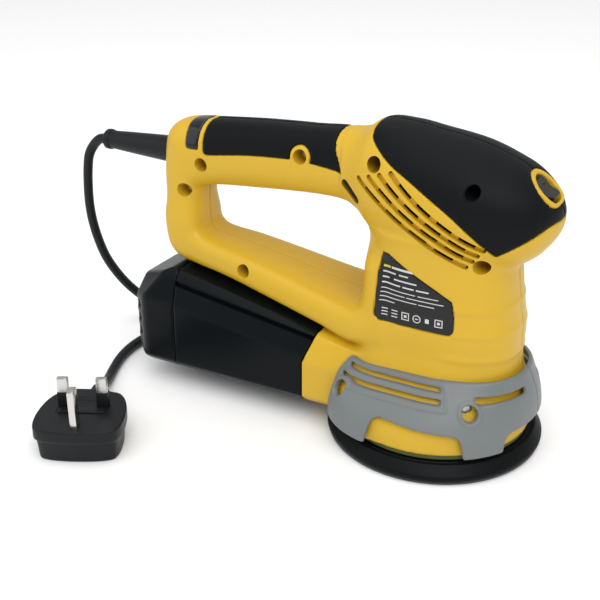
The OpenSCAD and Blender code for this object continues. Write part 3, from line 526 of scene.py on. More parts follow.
pins = np.minimum(np.maximum(np.abs(np.abs(X) - 11.1) - 3.2, np.abs(Y) - 2),
                  np.maximum(np.abs(X) - 2, np.abs(Y + 22.2) - 4))
plug_d = np.maximum(plug_d, -np.maximum(pins - 0.3, FACE - 0.7 - Z))
v, f = nets((plug_d + 0 * X).astype(np.float32), plug_lo, plug_h)
v[:, 2] = np.maximum(v[:, 2], 0.02)
plug_parts = [add("plug_moulding", place(v, PLUG), f, "plug_black", "body", ["plug_body"], 50)]
plug_parts.append(block("plug_fuse_carrier", [((-13.5, -8.8, 19.5), (13.5, -3.2, 21.25)),
                                              ((-12.6, -7.4, 20.6), (-10.6, -4.6, 21.6)),
                                              ((10.6, -7.4, 20.6), (12.6, -4.6, 21.6))],
                        "plug_black", "body", ["plug_fuse_cover"], PLUG, 0.3))
plug_parts.append(block("plug_earth", [((-2, -26.2, 8.5), (2, -18.2, 43.7))], "pin", "body",
                        ["plug_earth_pin"], PLUG, 1.0))
plug_parts.append(block("plug_live_neutral", [((s * 11.1 - 3.2, -2, 8.5), (s * 11.1 + 3.2, 2, 38.7))
                                              for s in (-1, 1)], "pin", "body",
                        ["plug_line_pins"], PLUG, 1.0))
plug_parts.append(block("plug_pin_sleeves", [((s * 11.1 - 3.4, -2.2, 20), (s * 11.1 + 3.4, 2.2, 30))
                                             for s in (-1, 1)], "plug_black", "body", (), PLUG, 0.5))
prof = [(3.15, -2), (7.2, -2), (7.2, 0.6)]
for k in range(5):
    s, r = 1.4 + 3.9 * k, 7.0 - 0.42 * k
    prof += [(r, s), (r, s + 2.0), (r - 1.3, s + 2.4), (r - 1.3, s + 3.5)]
prof += [(5.0, 20.9), (4.6, 21.4), (3.15, 21.4)]
v, f = lathe(prof, 48)
relief = PLUG @ Matrix.Translation((0, 16.6, 9)) @ Matrix.Rotation(-math.pi / 2, 4, "X")
v[:, 1] *= 0.96
plug_parts.append(add("plug_relief", place(v, relief), f, "plug_black", "body",
                      ["plug_strain_relief"], 35))


# ---------------------------------------------------------------- housing
# Sections of the column: height, middle in X, half length, half width, exponent
COLUMN = [(14, 0, 55, 55, 2), (28, 0.5, 54, 53, 2), (40, 2, 50.5, 44, 2.05),
          (48, 3.5, 46, 37.2, 2.15), (54, 4.2, 43.7, 33.5, 2.3), (74, 4, 43.5, 33, 2.5),
          (98, 2.6, 41.2, 33.5, 2.5), (118, 1.8, 39.8, 34, 2.4)]
# Sections of the head: X, middle height, half height, half width, exponent
HEAD = [(-54, 153.8, 17.4, 18.6, 2.3), (-46, 152.1, 23, 23.4, 2.3), (-38, 150.3, 30.2, 28, 2.25),
        (-22, 146, 35.2, 33, 2.2), (-4, 142.6, 35.9, 35.8, 2.2), (16, 141, 34.2, 36, 2.2),
        (32, 140.1, 30, 33, 2.2), (46, 139.4, 24.6, 27.2, 2.2), (55, 139.4, 17.2, 20.8, 2.2),
        (60, 139.8, 10, 14, 2.1), (62.6, 140, 1, 1.5, 2)]
# Side view of the handle: its outside and its opening
LOOP_OUT = [(-50, 172.2), (-80, 171.6), (-112, 170.2), (-140, 168), (-156, 166.8),
            (-168, 163.8), (-174.8, 156), (-176.6, 140), (-176.6, 120), (-176.2, 100),
            (-173.6, 87.4), (-166, 80), (-152, 77.2), (-128, 74), (-96, 66.6), (-66, 59.8),
            (-40, 54), (-10, 60), (-10, 160)]
LOOP_IN = [(-151.2, 110), (-151, 122.2), (-147, 127.4), (-112, 130.8), (-80, 133),
           (-60, 132.8), (-50.5, 129.8), (-44, 125), (-40, 118), (-38.6, 104), (-40, 85),
           (-46, 80), (-66, 83), (-96, 89.2), (-124, 94.4), (-143.6, 97.2), (-150, 101)]
# Thickness of the soft grips, of the shell, and where the screw heads sit from the seam
GRIP_T, WALL, DEEP = 1.8, 3.2, 7.0
# Screw recesses on the right side: X, Z and radius
SCREWS = [(-80.7, 157, 4.2), (-145.9, 143, 4.2), (-158.9, 125.6, 4.2), (-115.3, 84, 4.2),
          (-31.4, 163, 4.2), (23.3, 157, 4.2), (30, 117.5, 4.2), (-40.5, 125, 3.4)]
NOSE_SCREW = 5  # the one inside the head grip
# Switch: X, Z and tilt of its plane, then radius and lower end of the ring round it, and of
# the hole that the grips leave for that ring
SWITCH_AT = (52.4, 153.9, math.radians(43.6))
RING_R, RING_END = 12.9, 10.0
RING_HOLE_R, RING_HOLE_END = 13.1, 10.2
# Dial: X, Z and tilt, radius and half thickness, the same two for the gap round it, and the
# slot that it shows through
DIAL_X, DIAL_Z, DIAL_TILT = -46.5, 144, math.radians(46)
DIAL_R, DIAL_HALF = 19.7, 2.4
DIAL_GAP_R, DIAL_GAP_HALF = 20.4, 2.9
DIAL_SLOT = [(-51.4, 147), (-43.4, 140.6)]
DIAL_SLOT_R = 2.75
HANDLE_HALF = 17.1


# Heights of the box's long edges along X
def facet_z(x):
    return 43 + 0.145 * (-69 - x)


def groove_z(x):
    return 56.5 + 0.16 * (-63 - x)


def roof_z(x):
    return 58.5 + 0.2 * (-64 - x)


def box_field(x, y, z):
    """The duct and the dust box: flat facets with softened edges."""
    ay = np.abs(y)
    pts = [(29 + 0 * x, 12.8 + 0 * x), (34.5 + 0 * x, 18 + 0 * x), (34.5 + 0 * x, facet_z(x)),
           (29.8 + 0 * x, groove_z(x)), (25.5 + 0 * x, roof_z(x))]
    d = smax(12.8 - z, z - roof_z(x), 0.8)
    for (y0, z0), (y1, z1) in zip(pts, pts[1:]):
        n = np.sqrt((y1 - y0) ** 2 + (z1 - z0) ** 2)
        d = smax(d, ((ay - y0) * (z1 - z0) - (z - z0) * (y1 - y0)) / n, 0.8)
    return d


def joint_x(z):
    """X of the joint between the duct and the dust box."""
    return np.interp(z, [0, 40, 66, 90], [-70, -70, -60, -60]).astype(np.float32)


body_h = 0.8
body_lo = (-179.2, -61.6, 11.2)
X, Y, Z = axes(body_lo, (68, 0.8, 184), body_h)
side_x, side_z = X[:, 0, :], Z[0]


def rear_square(x, z, n):
    """Exponent of the sections: the rear half of the foot is squarer than the front."""
    t = np.clip(-x / 24, 0, 1)
    more = np.interp(z, [14, 28, 40, 54, 74, 98], [2.5, 3.0, 3.7, 4.8, 3.6, 2.5]).astype(np.float32)
    return n + np.maximum(more - n, 0) * t * t * (3 - 2 * t)


cx, a, b, n = curve(COLUMN, Z[0, 0])
n = rear_square(X, Z, n)
col = ((np.abs((X - cx) / a) ** n + np.abs(Y / b) ** n) ** (1 / n) - 1) * np.minimum(a, b)
col = distance(col.astype(np.float32), body_h)
front = np.clip((X - 6) / 14, 0, 1)
for z0 in (92, 78, 63):
    col = col - 0.6 * front * np.exp(-((Z - z0) / 2.2) ** 2)
col = np.maximum(col, Z - 126)
cz, c, w, n = [q[:, None, None] for q in curve(HEAD, X[:, 0, 0])]
tip = np.sqrt(np.clip((62.9 - X) / 7.9, 0.0005, 1))
c = np.where(X > 55, np.maximum(tip * 16.8, 0.3), c)
w = np.where(X > 55, np.maximum(tip * 20.5, 0.3), w)
head = (np.abs((Z - cz) / c) ** n + np.abs(Y / w) ** n) ** (1 / n) - 1
head = distance(np.minimum(head * np.minimum(c, w), 30).astype(np.float32), body_h)
head = np.maximum(head, -54 - X)
sx, sz, st = SWITCH_AT
switch_u = (X - sx) * math.cos(st) - (Z - sz) * math.sin(st)
switch_w = (X - sx) * math.sin(st) + (Z - sz) * math.cos(st)
ring_r = np.sqrt(switch_u * switch_u + Y * Y)
head = smax(head, switch_w - 2.4, 3)
d_out = -line_distance(side_x, side_z, rounded(LOOP_OUT, 5, corner=(17, 18)), True)[:, None, :]
d_in = line_distance(side_x, side_z, rounded(LOOP_IN, 5), True)[:, None, :]
span = np.maximum(d_out + d_in, 6)
low_arm = np.clip((122 - Z) / 18, 0, 1)
low_arm = low_arm * low_arm * (3 - 2 * low_arm)
wide = np.interp(X, [-155, -128, -96, -66, -40], [18.6, 21.6, 24.4, 27.5, 31]).astype(np.float32)
half = HANDLE_HALF + low_arm * (wide - HANDLE_HALF)
square = 2.5 + 0.9 * low_arm
loop = (np.abs((d_in - d_out) / span) ** square + np.abs(Y / half) ** square) ** (1 / square) - 1
loop = distance((loop * 17).astype(np.float32), body_h)
loop = np.maximum(loop, X + 24)
form = smin(smin(col, head, 5), loop, 5)
duct0 = np.maximum(box_field(X, Y, Z), X + 30)
duct = np.maximum(duct0, (joint_x(Z) - X) * 0.93)
body_d = smin(np.maximum(form, smax(14 - Z, form, 1.0)), duct, 3).astype(np.float32)
inner = smin(form, np.maximum(duct0, -90 - X), 3) + WALL
del col, head, loop, form, duct0, duct

HEAD_GRIP = rounded([(-38.6, 190), (-38.4, 180), (-37, 174.8), (-32, 170.6), (-22.5, 164.2), (-8, 157),
                     (11.5, 145.6), (24, 136), (36.6, 124), (49, 132.2), (59, 139.8), (66, 146),
                     (80, 190)], 4, corner=(0, 8, 12))
HANDLE_GRIP = rounded([(-144.8, 185), (-144.6, 166), (-144.4, 152), (-143, 149.8), (-139, 149.6),
                       (-113, 153), (-86, 154.5), (-69, 153.5), (-55.8, 151.8), (-54.8, 153),
                       (-57, 158), (-60, 166), (-60, 185)], 4, corner=(0, 12))
LENS = rounded([(-163, 185), (-157.5, 166), (-156.2, 153), (-155.2, 151.7), (-148.6, 151.7),
                (-147.6, 152.6), (-147.2, 166), (-147.4, 185)], 4, corner=(0, 7))
LABEL = rounded([(-25, 113.4), (-21.5, 116), (-18, 115.4), (13.6, 99), (17.6, 94.6), (18.6, 90),
                 (19, 80.6), (17.6, 77.8), (14, 76.6), (-22, 77), (-25.6, 78.4), (-27.6, 81.8)], 3)


def region(points):
    """Distance to an outline of the side view, over the whole grid."""
    return line_distance(side_x, side_z, points, True)[:, None, :]


head_grip, handle_grip = region(HEAD_GRIP), region(HANDLE_GRIP)
lens_area, label_area = region(LENS), region(LABEL)
hole = [np.sqrt((side_x - s[0]) ** 2 + (side_z - s[1]) ** 2)[:, None, :] for s in SCREWS]
handle_grip = np.maximum(handle_grip, 6.2 - hole[0])

# Vents in the side view: X and Z of both ends
VENTS = [(-41, 154.4, 22.5, 117.5), (-34, 156.6, 25.5, 121), (-27.6, 158.8, 28, 124.5),
         (-21, 160.8, 31, 127.8)]


def vent_line(q, t0, t1):
    """Part of a vent's bowed middle line."""
    dx, dz = q[2] - q[0], q[3] - q[1]
    n = math.hypot(dx, dz)
    t = np.linspace(t0, t1, 9)
    k = 9.6 * t * (1 - t)
    return np.stack([q[0] + dx * t + dz / n * k, q[1] + dz * t - dx / n * k], 1)


ring = smax(smax(ring_r - RING_R, switch_u - RING_END, 4), smax(switch_w - 1.8, -7 - switch_w, 0.2), 0.8)
opening = smax(ring_r - 9.7, switch_u - 7.9, 2)
dial_sin, dial_cos = math.sin(DIAL_TILT), math.cos(DIAL_TILT)
dial_u = (X - DIAL_X) * dial_sin + (Z - DIAL_Z) * dial_cos
dial_v = np.sqrt(((X - DIAL_X) * dial_cos - (Z - DIAL_Z) * dial_sin) ** 2 + Y * Y)
pill = line_distance(side_x, side_z, np.array(DIAL_SLOT))[:, None, :] - DIAL_SLOT_R
sleeve_r = np.sqrt(Y * Y + (Z - SLEEVE_ROOT[2]) ** 2)


def shell(side):
    """Half of the yellow shell: side -1 has the recess for the label."""
    f = np.maximum(body_d, -inner)
    for s, r in zip(SCREWS, hole):
        post = np.maximum(np.maximum(body_d + 0.9, r - (s[2] + 1.9)), Y)
        f = smin(f, post, 0.8)
    f = np.maximum(f, smin(-head_grip, body_d + GRIP_T, 0.6))
    f = np.maximum(f, smin(-handle_grip, body_d + GRIP_T, 0.6))
    f = np.maximum(f, smin(-lens_area, body_d + GRIP_T, 0.6))
    if side < 0:
        f = smax(f, smin(-label_area, body_d + 1.5, 0.5), 0.5)
    rim = np.maximum(ring, -body_d - 7)
    f = smin(f, rim, 0.5)
    f = np.maximum(f, -np.maximum(opening, np.maximum(-20 - switch_w, switch_w - 6)))
    dial_gap = np.maximum(dial_v - DIAL_GAP_R, np.abs(dial_u) - DIAL_GAP_HALF)
    f = np.maximum(f, -np.maximum(dial_gap, body_d + 1.3))
    f = np.maximum(f, -np.maximum(sleeve_r - 6.4, X - SLEEVE_ROOT[0]))
    return smax(f, Y + 0.1, 0.5)


def cover(area, cut_out):
    """A soft grip over an area of the side view, less a cut-out, on the right half."""
    f = smax(body_d - 0.02, -(body_d + GRIP_T), 0.3)
    f = smax(f, area + 0.22, 0.9)
    f = smax(f, cut_out, 0.5)
    return smax(f, Y + 0.06, 0.35)


def half_piece(name, field, slot, node, side=-1):
    """side is -1 for the half that was computed, +1 for its mirror image."""
    v, f = nets(field.astype(np.float32), body_lo, body_h)
    if side > 0:
        v = v * (1, -1, 1)
        f = f[:, ::-1]
    return add(name, v, f, slot, "body", [node], 45)


def surface_y(x, z, depth):
    """Y of the right half's surface, taken a depth below it, at points of the side view."""
    x, z = np.atleast_1d(x).astype(float), np.atleast_1d(z).astype(float)
    fx, fz = (x - body_lo[0]) / body_h, (z - body_lo[2]) / body_h
    i, k = fx.astype(int), fz.astype(int)
    u1, w1 = (fx - i)[:, None], (fz - k)[:, None]
    col_d = ((body_d[i, :, k] * (1 - u1) + body_d[i + 1, :, k] * u1) * (1 - w1)
             + (body_d[i, :, k + 1] * (1 - u1) + body_d[i + 1, :, k + 1] * u1) * w1) + depth
    first = np.maximum(np.argmax(col_d < 0, axis=1), 1)
    rows = np.arange(len(x))
    a0, b0 = col_d[rows, first - 1], col_d[rows, first]
    return body_lo[1] + body_h * (first - 1 + a0 / (a0 - b0))


shell_right = half_piece("shell_right", shell(-1), "yellow_shell", "housing_right")
shell_left = half_piece("shell_left", shell(1), "yellow_shell", "housing_left", 1)
vent_cuts = [prism(band_outline(vent_line(q, 0.01, 1), 1.5), -60, -16) for q in VENTS]
pill_line = np.linspace(*DIAL_SLOT, 3)
pill_cut = prism(band_outline(pill_line, DIAL_SLOT_R, 12), -50, -14)
recesses = [prism(circle(s[0], s[1], s[2]), -70, -DEEP) for s in SCREWS]
pilots = [prism(circle(s[0], s[1], 2.05, 24), -8, 3) for s in SCREWS]
carve(shell_right, vent_cuts)
carve(shell_right, recesses)
carve(shell_right, pilots + [pill_cut])
carve(shell_left, vent_cuts, True)
carve(shell_left, pilots + [pill_cut], True)

ring_hole = -smax(ring_r - RING_HOLE_R, switch_u - RING_HOLE_END, 4)
for side, word in ((-1, "right"), (1, "left")):
    nose_grip = half_piece("nose_grip_" + word, cover(head_grip, ring_hole), "grip",
                           "head_grip_" + word, side)
    if side < 0:
        carve(nose_grip, [recesses[NOSE_SCREW]])
    half_piece("handle_cover_" + word, cover(handle_grip, -pill), "grip",
               "handle_grip_" + word, side)


def strip(line, d0, d1, half=None, edges=None):
    """Closed ribbon that follows the surface between two depths, along a side-view line."""
    line = np.array(line)
    t = np.gradient(line, axis=0)
    t /= np.linalg.norm(t, axis=1)[:, None]
    n = np.stack([-t[:, 1], t[:, 0]], 1)
    e0, e1 = edges if edges else (-half, half)
    vs = []
    for off, dep in ((e0, d0), (e1, d0), (e1, d1), (e0, d1)):
        q = line + n * off
        vs.append(np.stack([q[:, 0], surface_y(q[:, 0], q[:, 1], dep), q[:, 1]], 1))
    vs = np.stack(vs, 1).reshape(-1, 3)
    fs = [(0, 1, 2, 3), tuple(4 * (len(line) - 1) + k for k in (3, 2, 1, 0))]
    for i in range(len(line) - 1):
        fs += [(4 * i + k, 4 * i + 4 + k, 4 * i + 4 + (k + 1) % 4, 4 * i + (k + 1) % 4)
               for k in range(4)]
    return vs, fs


# ---------------------------------------------------------------- vents and the grip's recess
# Floors of the vents: full width, and beside each narrow slit
floors = []
for i, q in enumerate(VENTS):
    marks = [0.0]
    for k in range(4):
        t0 = 0.09 + 0.22 * k + 0.03 * (i % 2)
        marks += [t0, t0 + 0.15]
    marks.append(1.0)
    for k, (t0, t1) in enumerate(zip(marks[:-1], marks[1:])):
        edges = (-1.8, 1.8) if k % 2 == 0 else (0.3, 1.8)
        floors.append(strip(vent_line(q, t0, t1), 2.3, 3.4, edges=edges))
joined("vent_floor_right", floors, "yellow_shell")
joined("vent_floor_left", floors, "yellow_shell", flip=True)

# The recess in the soft grip has a dark lining
a0 = np.linspace(0, 2 * math.pi, 49)[:-1]
lining = []
for r, deep in ((4.24, None), (4.24, -DEEP - 0.3), (3.7, -DEEP - 0.3), (3.7, None)):
    lx, lz = SCREWS[NOSE_SCREW][0] + r * np.cos(a0), SCREWS[NOSE_SCREW][1] + r * np.sin(a0)
    ly = surface_y(lx, lz, 0.5) if deep is None else np.full(48, deep)
    lining.append(np.stack([lx, ly, lz], 1))
lv = np.stack(lining, 1).reshape(-1, 3)
lf = [(4 * i + k, 4 * i + (k + 1) % 4, 4 * ((i + 1) % 48) + (k + 1) % 4, 4 * ((i + 1) % 48) + k)
      for i in range(48) for k in range(4)]
add("recess_lining", lv, lf, "grip", "body", (), 35)

# ---------------------------------------------------------------- lens and label
lens_field = smax(smax(body_d - 0.02, -(body_d + GRIP_T), 0.3), lens_area + 0.2, 0.7)
v, f = nets(lens_field.astype(np.float32), body_lo, body_h)
both_v = np.vstack([v, v * (1, -1, 1)])
both_f = np.vstack([f, f[:, ::-1] + len(v)])
add("lens_cover", both_v, both_f, "lens", "body", ["indicator_lens"], 45)
label_field = smax(smax(body_d + 0.35, -(body_d + 1.75), 0.1), label_area + 0.3, 0.3)
half_piece("label_plate", label_field, "label", "rating_label")


PRINT_TOP, PRINT_LOW = 0.16, 0.7


def bar(x0, x1, z, tall):
    """Printed bar between two X at a height."""
    n = max(2, int((x1 - x0) / 1.5) + 1)
    return strip([(x, z) for x in np.linspace(x0, x1, n)], PRINT_TOP, PRINT_LOW, half=tall / 2)


def ring_mark(x, z, r):
    line = circle(x, z, r, 16)
    return strip(line + line[:1], PRINT_TOP, PRINT_LOW, half=0.25)


# Printed bars and plain symbols in place of words: X and Z in the side view
white, bright = [], []
bright.append(bar(-22.6, -18.4, 109.4, 1.2))
white.append(bar(-17.6, -4.5, 109.4, 1.2))
for z, spans in ((106.2, ((-22.8, -15), (-13, -7.5))), (103.0, ((-23, -19), (-16, -2.5))),
                 (99.8, ((-23.2, -12), (-10.6, -4), (-2.6, 4.5)))):
    white += [bar(a, b, z, 0.8) for a, b in spans]
for z, spans in ((96.6, ((-23.4, -3), (-1.6, 10))), (94.2, ((-23.6, -9), (-8, 13))),
                 (91.8, ((-23.8, -2), (-1, 8))), (89.4, ((-24, -15),))):
    white += [bar(a, b, z, 0.45) for a, b in spans]
for x in (-22.5, -16.5):
    white += [bar(x, x + 3.6, z, 0.5) for z in (81.4, 83.2, 85)]
for x in (-10.4, 8.6):
    white += [bar(x, x + 4.4, 81.2, 0.5), bar(x, x + 4.4, 85.2, 0.5),
              strip([(x + 0.25, 81.2), (x + 0.25, 85.2)], PRINT_TOP, PRINT_LOW, half=0.25),
              strip([(x + 4.15, 81.2), (x + 4.15, 85.2)], PRINT_TOP, PRINT_LOW, half=0.25),
              bar(x + 1.4, x + 3, 83.2, 1.4)]
white += [ring_mark(-1.6, 83.2, 2.1), bar(-2.6, -0.6, 83.2, 0.5), bar(3.2, 5.4, 83.2, 2.4)]
joined("label_print_white", white, "label_white")
joined("label_print_yellow", bright, "label_yellow")


# ---------------------------------------------------------------- collar
# Sections of the collar, as for the column
COLLAR = [(14.4, 0.4, 60.4, 60, 2), (28, 1.2, 59.2, 57, 2), (40, 2.8, 55.5, 48.6, 2.05),
          (48, 4.2, 50.9, 41.4, 2.15), (54, 5.2, 47.5, 36.3, 2.3)]
# Collar screws: angle round the pad's axis, height
SITES = [(-50, 38.8), (-132.5, 36.8), (50, 38.8), (132.5, 36.8)]
collar_h = 0.65
collar_lo = (-64.4, -62.4, 12.6)
CX, CY, CZ = axes(collar_lo, (62.4, 0.6, 57), collar_h)
cx, a, b, n = curve(COLLAR, CZ[0, 0])
n = rear_square(CX, CZ, n)
collar_d = ((np.abs((CX - cx) / a) ** n + np.abs(CY / b) ** n) ** (1 / n) - 1) * np.minimum(a, b)
collar_d = distance(collar_d.astype(np.float32), collar_h)
ang = np.degrees(np.arctan2(CY, CX)) + 0 * CZ
arc = 57 * math.pi / 180


def patch(a0, a1, z0, z1, k, lean=0.0, skew=0.0):
    """Rounded window between two angles and two heights; lean slants its sides."""
    across = (np.abs(ang - (a0 + a1) / 2) - (a1 - a0) / 2) * arc + lean * (CZ - z0)
    level = CZ - skew * (a1 - ang) / (a1 - a0)
    return smax(across, np.abs(level - (z0 + z1) / 2) - (z1 - z0) / 2, k)


band_d = smax(collar_d, -(collar_d + 2.4), 0.7)
band_d = smax(band_d, smax(14.4 - CZ, CZ - 52 - 0.02 * CX, 0.6), 1.2)
band_d = smax(band_d, -patch(-110.5, -52.5, 4, 27, 5, 0.16, 4.5), 1.0)
band_d = smax(band_d, -patch(-32.5, 32.5, 6, 25, 5, 0.16), 1.0)
for a0, a1, z0, z1 in ((-138.5, -67, 46.8, 49.2), (-138.5, -67, 41.4, 44.2), (-46, -11, 42.4, 46)):
    band_d = smax(band_d, -patch(a0, a1, z0, z1, 1.0), 0.6)
frame_c = np.maximum(patch(-143, -63, 38.9, 51.6, 3), -patch(-141.6, -64.4, 40.1, 50.4, 2.5))
band_d = smin(band_d, smax(np.maximum(frame_c + 0.2, collar_d - 0.5), -(collar_d + 1), 0.4), 0.8)
for a0, z0 in SITES[:2]:
    t = math.radians(a0)
    off = np.sqrt((CX * -math.sin(t) + CY * math.cos(t)) ** 2 + (CZ - z0) ** 2)
    off = np.where(CX * math.cos(t) + CY * math.sin(t) > 0, off, 90)
    boss = smax(np.maximum(off - 6.0, collar_d - 0.45), -(collar_d + 2), 0.6)
    band_d = smin(band_d, boss, 1.4)
    band_d = smax(band_d, 4.3 - off, 0.5)
band_d = smax(band_d, -51.8 + 8.4 * (CZ - 8) / 52 - CX, 0.8)
duct_c = np.maximum(box_field(CX, CY, CZ), CX + 30)
band_d = np.maximum(band_d, 0.3 - duct_c)
band_d = smax(band_d, CY + 0.1, 0.4)
v, f = nets(band_d.astype(np.float32), collar_lo, collar_h)
add("collar_shell_right", v, f, "grey_collar", "body", ["collar_right"], 45)
add("collar_shell_left", v * (1, -1, 1), f[:, ::-1].copy(), "grey_collar", "body",
    ["collar_left"], 45)

# ---------------------------------------------------------------- dust box
box_h = 0.8
box_lo = (-194, -37, 11.5)
BX, BY, BZ = axes(box_lo, (-54, 37, 81), box_h)
box_d = box_field(BX, BY, BZ)
jx = joint_x(BZ)
hollow = box_d + 3
case = smax(smax(box_d, (BX - (jx - 0.5)) * 0.93, 0.8), -159 - BX, 0.6)
case = np.maximum(case, -hollow)
v, f = nets(case.astype(np.float32), box_lo, box_h)
case_ob = add("dust_case", v, f, "box_black", "dust_box", ["dust_box_body"], 30)
grooves = []
for y0, y1 in ((-40, -28), (28, 40)):
    gv = [(x, y, groove_z(x) + dz) for deep_rear, deep_front in ((-3.4, -2.9), (-0.2, -0.2))
          for x, y, dz in ((-170, y0, deep_rear), (-50, y0, deep_front), (-50, y1, deep_front),
                           (-170, y1, deep_rear))]
    grooves.append((gv, BOX_FACES))
carve(case_ob, grooves, crease=30)
near = np.abs(BY)
cap = box_d
cap = smax(cap, (BZ - (68 + 0.44 * (BX + 187))) * 0.915, 1.2)
cap = smax(cap, (-191 - BX), 1.4)
cap = smax(cap, ((near - 33.6) + 0.66 * (-182.5 - BX)) * 0.835, 2.0)
cap = smax(cap, (near * 0.55 + (BZ - 63) * 0.62 + (-183 - BX) * 0.56 - 15.5), 1.2)
cap = smax(cap, (19 - BZ) * 0.74 + (-187.5 - BX) * 0.74, 1.6)
for z0 in (24, 33, 42, 51):
    grip = np.sqrt((near - 34.5) ** 2 + (BX + 191) ** 2) - 6.6
    cap = smax(cap, -smax(grip, np.abs(BZ - z0) - 2.6, 1.2), 0.8)
inside = cap + 3.2
cap = smax(cap, BX + 159.35, 0.6)
cap = np.maximum(cap, -inside)
v, f = nets(cap.astype(np.float32), box_lo, box_h)
add("dust_cap_shell", v, f, "box_black", "dust_cap", ["dust_box_cap"], 35)

# ---------------------------------------------------------------- pad
RIM = [(0, 1.6), (61.2, 1.6), (62.0, 2.2), (62.5, 3.4), (62.5, 4.8), (62.2, 5.5), (61.6, 6.1),
       (58.8, 10.4), (58.2, 10.8), (57.2, 10.8), (56.8, 10.4), (55.8, 10.4), (55.4, 10.8),
       (12, 10.8), (0, 10.8)]


def drilled(name, profile, slot, node, holes):
    """A turned piece with cylinders taken out: each hole is (x, y, radius)."""
    v, f = lathe(profile, 180)
    ob = add(name, v, f, slot, "pad", [node], 30)
    rods = []
    for x, y, r in holes:
        rod, rod_faces = lathe([(0, -5), (r, -5), (r, 20), (0, 20)], 40)
        rods.append((rod + np.array([x, y, 0]), rod_faces))
    cv, cf = gathered(rods)
    cutter = bpy.data.meshes.new("cutter")
    cutter.from_pydata([mm(*p) for p in cv], [], cf)
    subtract(ob, cutter, ("EXACT",), 30, False)


DUST = [(32.5 * math.cos(math.radians(45 * i + 22.5)), 32.5 * math.sin(math.radians(45 * i + 22.5)), 5)
        for i in range(8)]
drilled("foam_pad", [(9.2, 1.6)] + RIM[1:-1] + [(3.1, 10.8), (3.1, 6.1), (9.2, 6.1)], "pad_foam",
        "backing_pad", DUST)
drilled("hook_disc", [(9.2, 0), (60.6, 0), (61.4, 0.5), (61.4, 1.6), (9.2, 1.6)], "hook",
        "pad_hook_face", DUST)
v, f = lathe([(47, 11.2), (53.6, 11.2), (54, 11.6), (54, 13.5), (53.6, 13.9), (51, 13.9), (50, 13.2),
              (48, 13.2), (47, 12.6)], 144)
add("brake_skirt", v, f, "brake_rubber", "body", ["pad_brake_ring"], 30)

# ---------------------------------------------------------------- controls
TILT = Matrix.Translation((sx, 0, sz)) @ Matrix.Rotation(st, 4, "Y")
rocker_h = 0.35
rocker_lo = (-9, -9, -8)
RX, RY, RZ = axes(rocker_lo, (9, 9, 5), rocker_h)
rocker2 = rounded([(-6.9, -2.6), (-7.1, 0.6), (-6.4, 1.2), (-0.6, 0.45), (0.4, 0.6), (5.0, 2.7),
                   (6.1, 2.5), (6.3, 1.2), (5.6, -3), (2.6, -6.6), (-2.6, -6.6)], 3)
rocker_side = line_distance(RX[:, 0, :], RZ[0], rocker2, True)[:, None, :]
rocker_d = smax(rocker_side + 0 * RY, np.sqrt((RX + 0.6) ** 2 + RY * RY) - 8.4, 0.5)
rocker_d = smax(rocker_d, np.abs(RY) - 7.7, 0.9)
mark = np.maximum(np.abs(RY) - 1.9, np.abs(RX + 3.2) - 0.35)
rocker_d = np.maximum(rocker_d, -np.maximum(mark, 0.35 - RZ))
v, f = nets(rocker_d.astype(np.float32), rocker_lo, rocker_h)
add("rocker_key", place(v + (-0.6, 0, -0.2), TILT), f, "rocker", "rocker", ["switch_rocker"], 50)

DIAL = Matrix.Translation((DIAL_X, 0, DIAL_Z)) @ Matrix.Rotation(DIAL_TILT, 4, "Y")
teeth = 72
dv, df = [], []
for i in range(teeth * 4):
    t = 2 * math.pi * i / (teeth * 4)
    r = DIAL_R - (0.0, 0.3, 0.7, 0.3)[i % 4]
    for rr, z in ((3.1, -DIAL_HALF), (r - 0.5, -DIAL_HALF), (r, -1.9), (r, 1.9), (r - 0.5, DIAL_HALF),
                  (3.1, DIAL_HALF)):
        dv.append((rr * math.cos(t), rr * math.sin(t), z))
for i in range(teeth * 4):
    j = (i + 1) % (teeth * 4)
    for k in range(6):
        df.append((i * 6 + k, j * 6 + k, j * 6 + (k + 1) % 6, i * 6 + (k + 1) % 6))
add("dial_wheel", place(dv, DIAL), df, "dial", "dial", ["speed_dial"], 25)


# ---------------------------------------------------------------- screws
HEAD_R, HEAD_H = 3.1, 2.1


def screw_head(r, tall):
    """Pan head on the plane z = 0, shank below."""
    return lathe([(0.01, -9), (1.6, -9), (1.7, 0), (r, 0), (r, tall * 0.45), (r * 0.86, tall * 0.85),
                  (r * 0.6, tall), (0.01, tall)], 36)


def screws(name, sites, node):
    """Screw heads with a cross on each, placed by matrices."""
    solids = []
    for m in sites:
        v, f = screw_head(HEAD_R, HEAD_H)
        solids.append((place(v, m), f))
        for a0 in (20, 110):
            cross = m @ Matrix.Rotation(math.radians(a0), 4, "Z")
            c = [(x, y, z) for z in (HEAD_H - 0.08, HEAD_H + 0.06)
                 for x, y in ((-1.7, -0.3), (1.7, -0.3), (1.7, 0.3), (-1.7, 0.3))]
            solids.append((place(c, cross), BOX_FACES))
    vs, fs = gathered(solids)
    return add(name, vs, fs, "screw_steel", "body", [node])


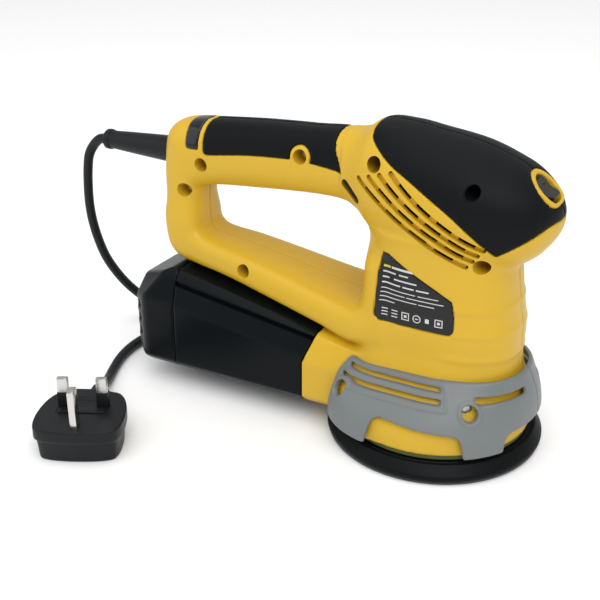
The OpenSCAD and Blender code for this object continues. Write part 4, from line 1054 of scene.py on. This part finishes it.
screws("case_screws", [Matrix.Translation((s[0], -DEEP, s[1])) @ Matrix.Rotation(math.pi / 2, 4, "X")
                       for s in SCREWS], "housing_screws")
at = []
for a0, z0 in SITES:
    t = math.radians(a0)
    reach = np.arange(40, 62, 0.1)
    gx = ((reach * math.cos(t) - body_lo[0]) / body_h).astype(int)
    gy = ((-reach * abs(math.sin(t)) - body_lo[1]) / body_h).astype(int)
    dist = reach[np.argmax(body_d[gx, gy, int((z0 - body_lo[2]) / body_h)] > -1.4)]
    at.append(Matrix.Rotation(t, 4, "Z") @ Matrix.Translation((dist + 0.2, 0, z0))
              @ Matrix.Rotation(math.pi / 2, 4, "Y"))
screws("ring_screws", at, "collar_screws")

block("capacitor_can", [((-86, -5, 69), (-66, 5, 78.5)), ((-84, -1, 67.5), (-83, 1, 69.5)),
                        ((-69, -1, 67.5), (-68, 1, 69.5))], "capacitor", "body",
      ["suppression_capacitor"], None, 0.8)

# ---------------------------------------------------------------- CAD nodes that stay
for rec in frame["record"]["subparts"]:
    node = frame["nodes"][rec["node"]]
    node.data.materials.clear()
    node.data.materials.append(MATS[rec["material_slot"]])

# ---------------------------------------------------------------- floor and light
bpy.ops.mesh.primitive_plane_add(size=40, location=(0, 0, -0.0002))
floor = bpy.context.object
floor.name = "floor"
fm = bpy.data.materials.new("floor")
fm.use_nodes = True
fb = fm.node_tree.nodes["Principled BSDF"]
fb.inputs["Base Color"].default_value = (0.93, 0.93, 0.93, 1)
fb.inputs["Roughness"].default_value = 0.75
floor.data.materials.append(fm)

world = bpy.data.worlds.new("world")
scene.world = world
world.use_nodes = True
world.node_tree.nodes["Background"].inputs[0].default_value = (1, 1, 1, 1)
world.node_tree.nodes["Background"].inputs[1].default_value = 0.55


def area(name, loc, target, size, power):
    """Area lamp aimed at a target, in metres."""
    lamp = bpy.data.lights.new(name, "AREA")
    lamp.size = size
    lamp.energy = power
    ob = bpy.data.objects.new(name, lamp)
    ob.location = loc
    d = Vector(target) - Vector(loc)
    ob.rotation_euler = d.to_track_quat("-Z", "Y").to_euler()
    scene.collection.objects.link(ob)


area("key", (0.6, -0.9, 1.1), (-0.05, 0, 0.08), 0.9, 7)
area("fill", (-1.0, -0.7, 0.7), (-0.08, 0, 0.08), 1.1, 3)
area("top", (-0.1, 0.35, 1.3), (-0.05, 0, 0.08), 1.2, 3)
sun = bpy.data.lights.new("sky", "SUN")
sun.energy = 1.35
sun.angle = math.radians(70)
sky = bpy.data.objects.new("sky", sun)
sky.rotation_euler = (math.radians(18), math.radians(12), 0)
scene.collection.objects.link(sky)
scene.view_settings.view_transform = "Standard"
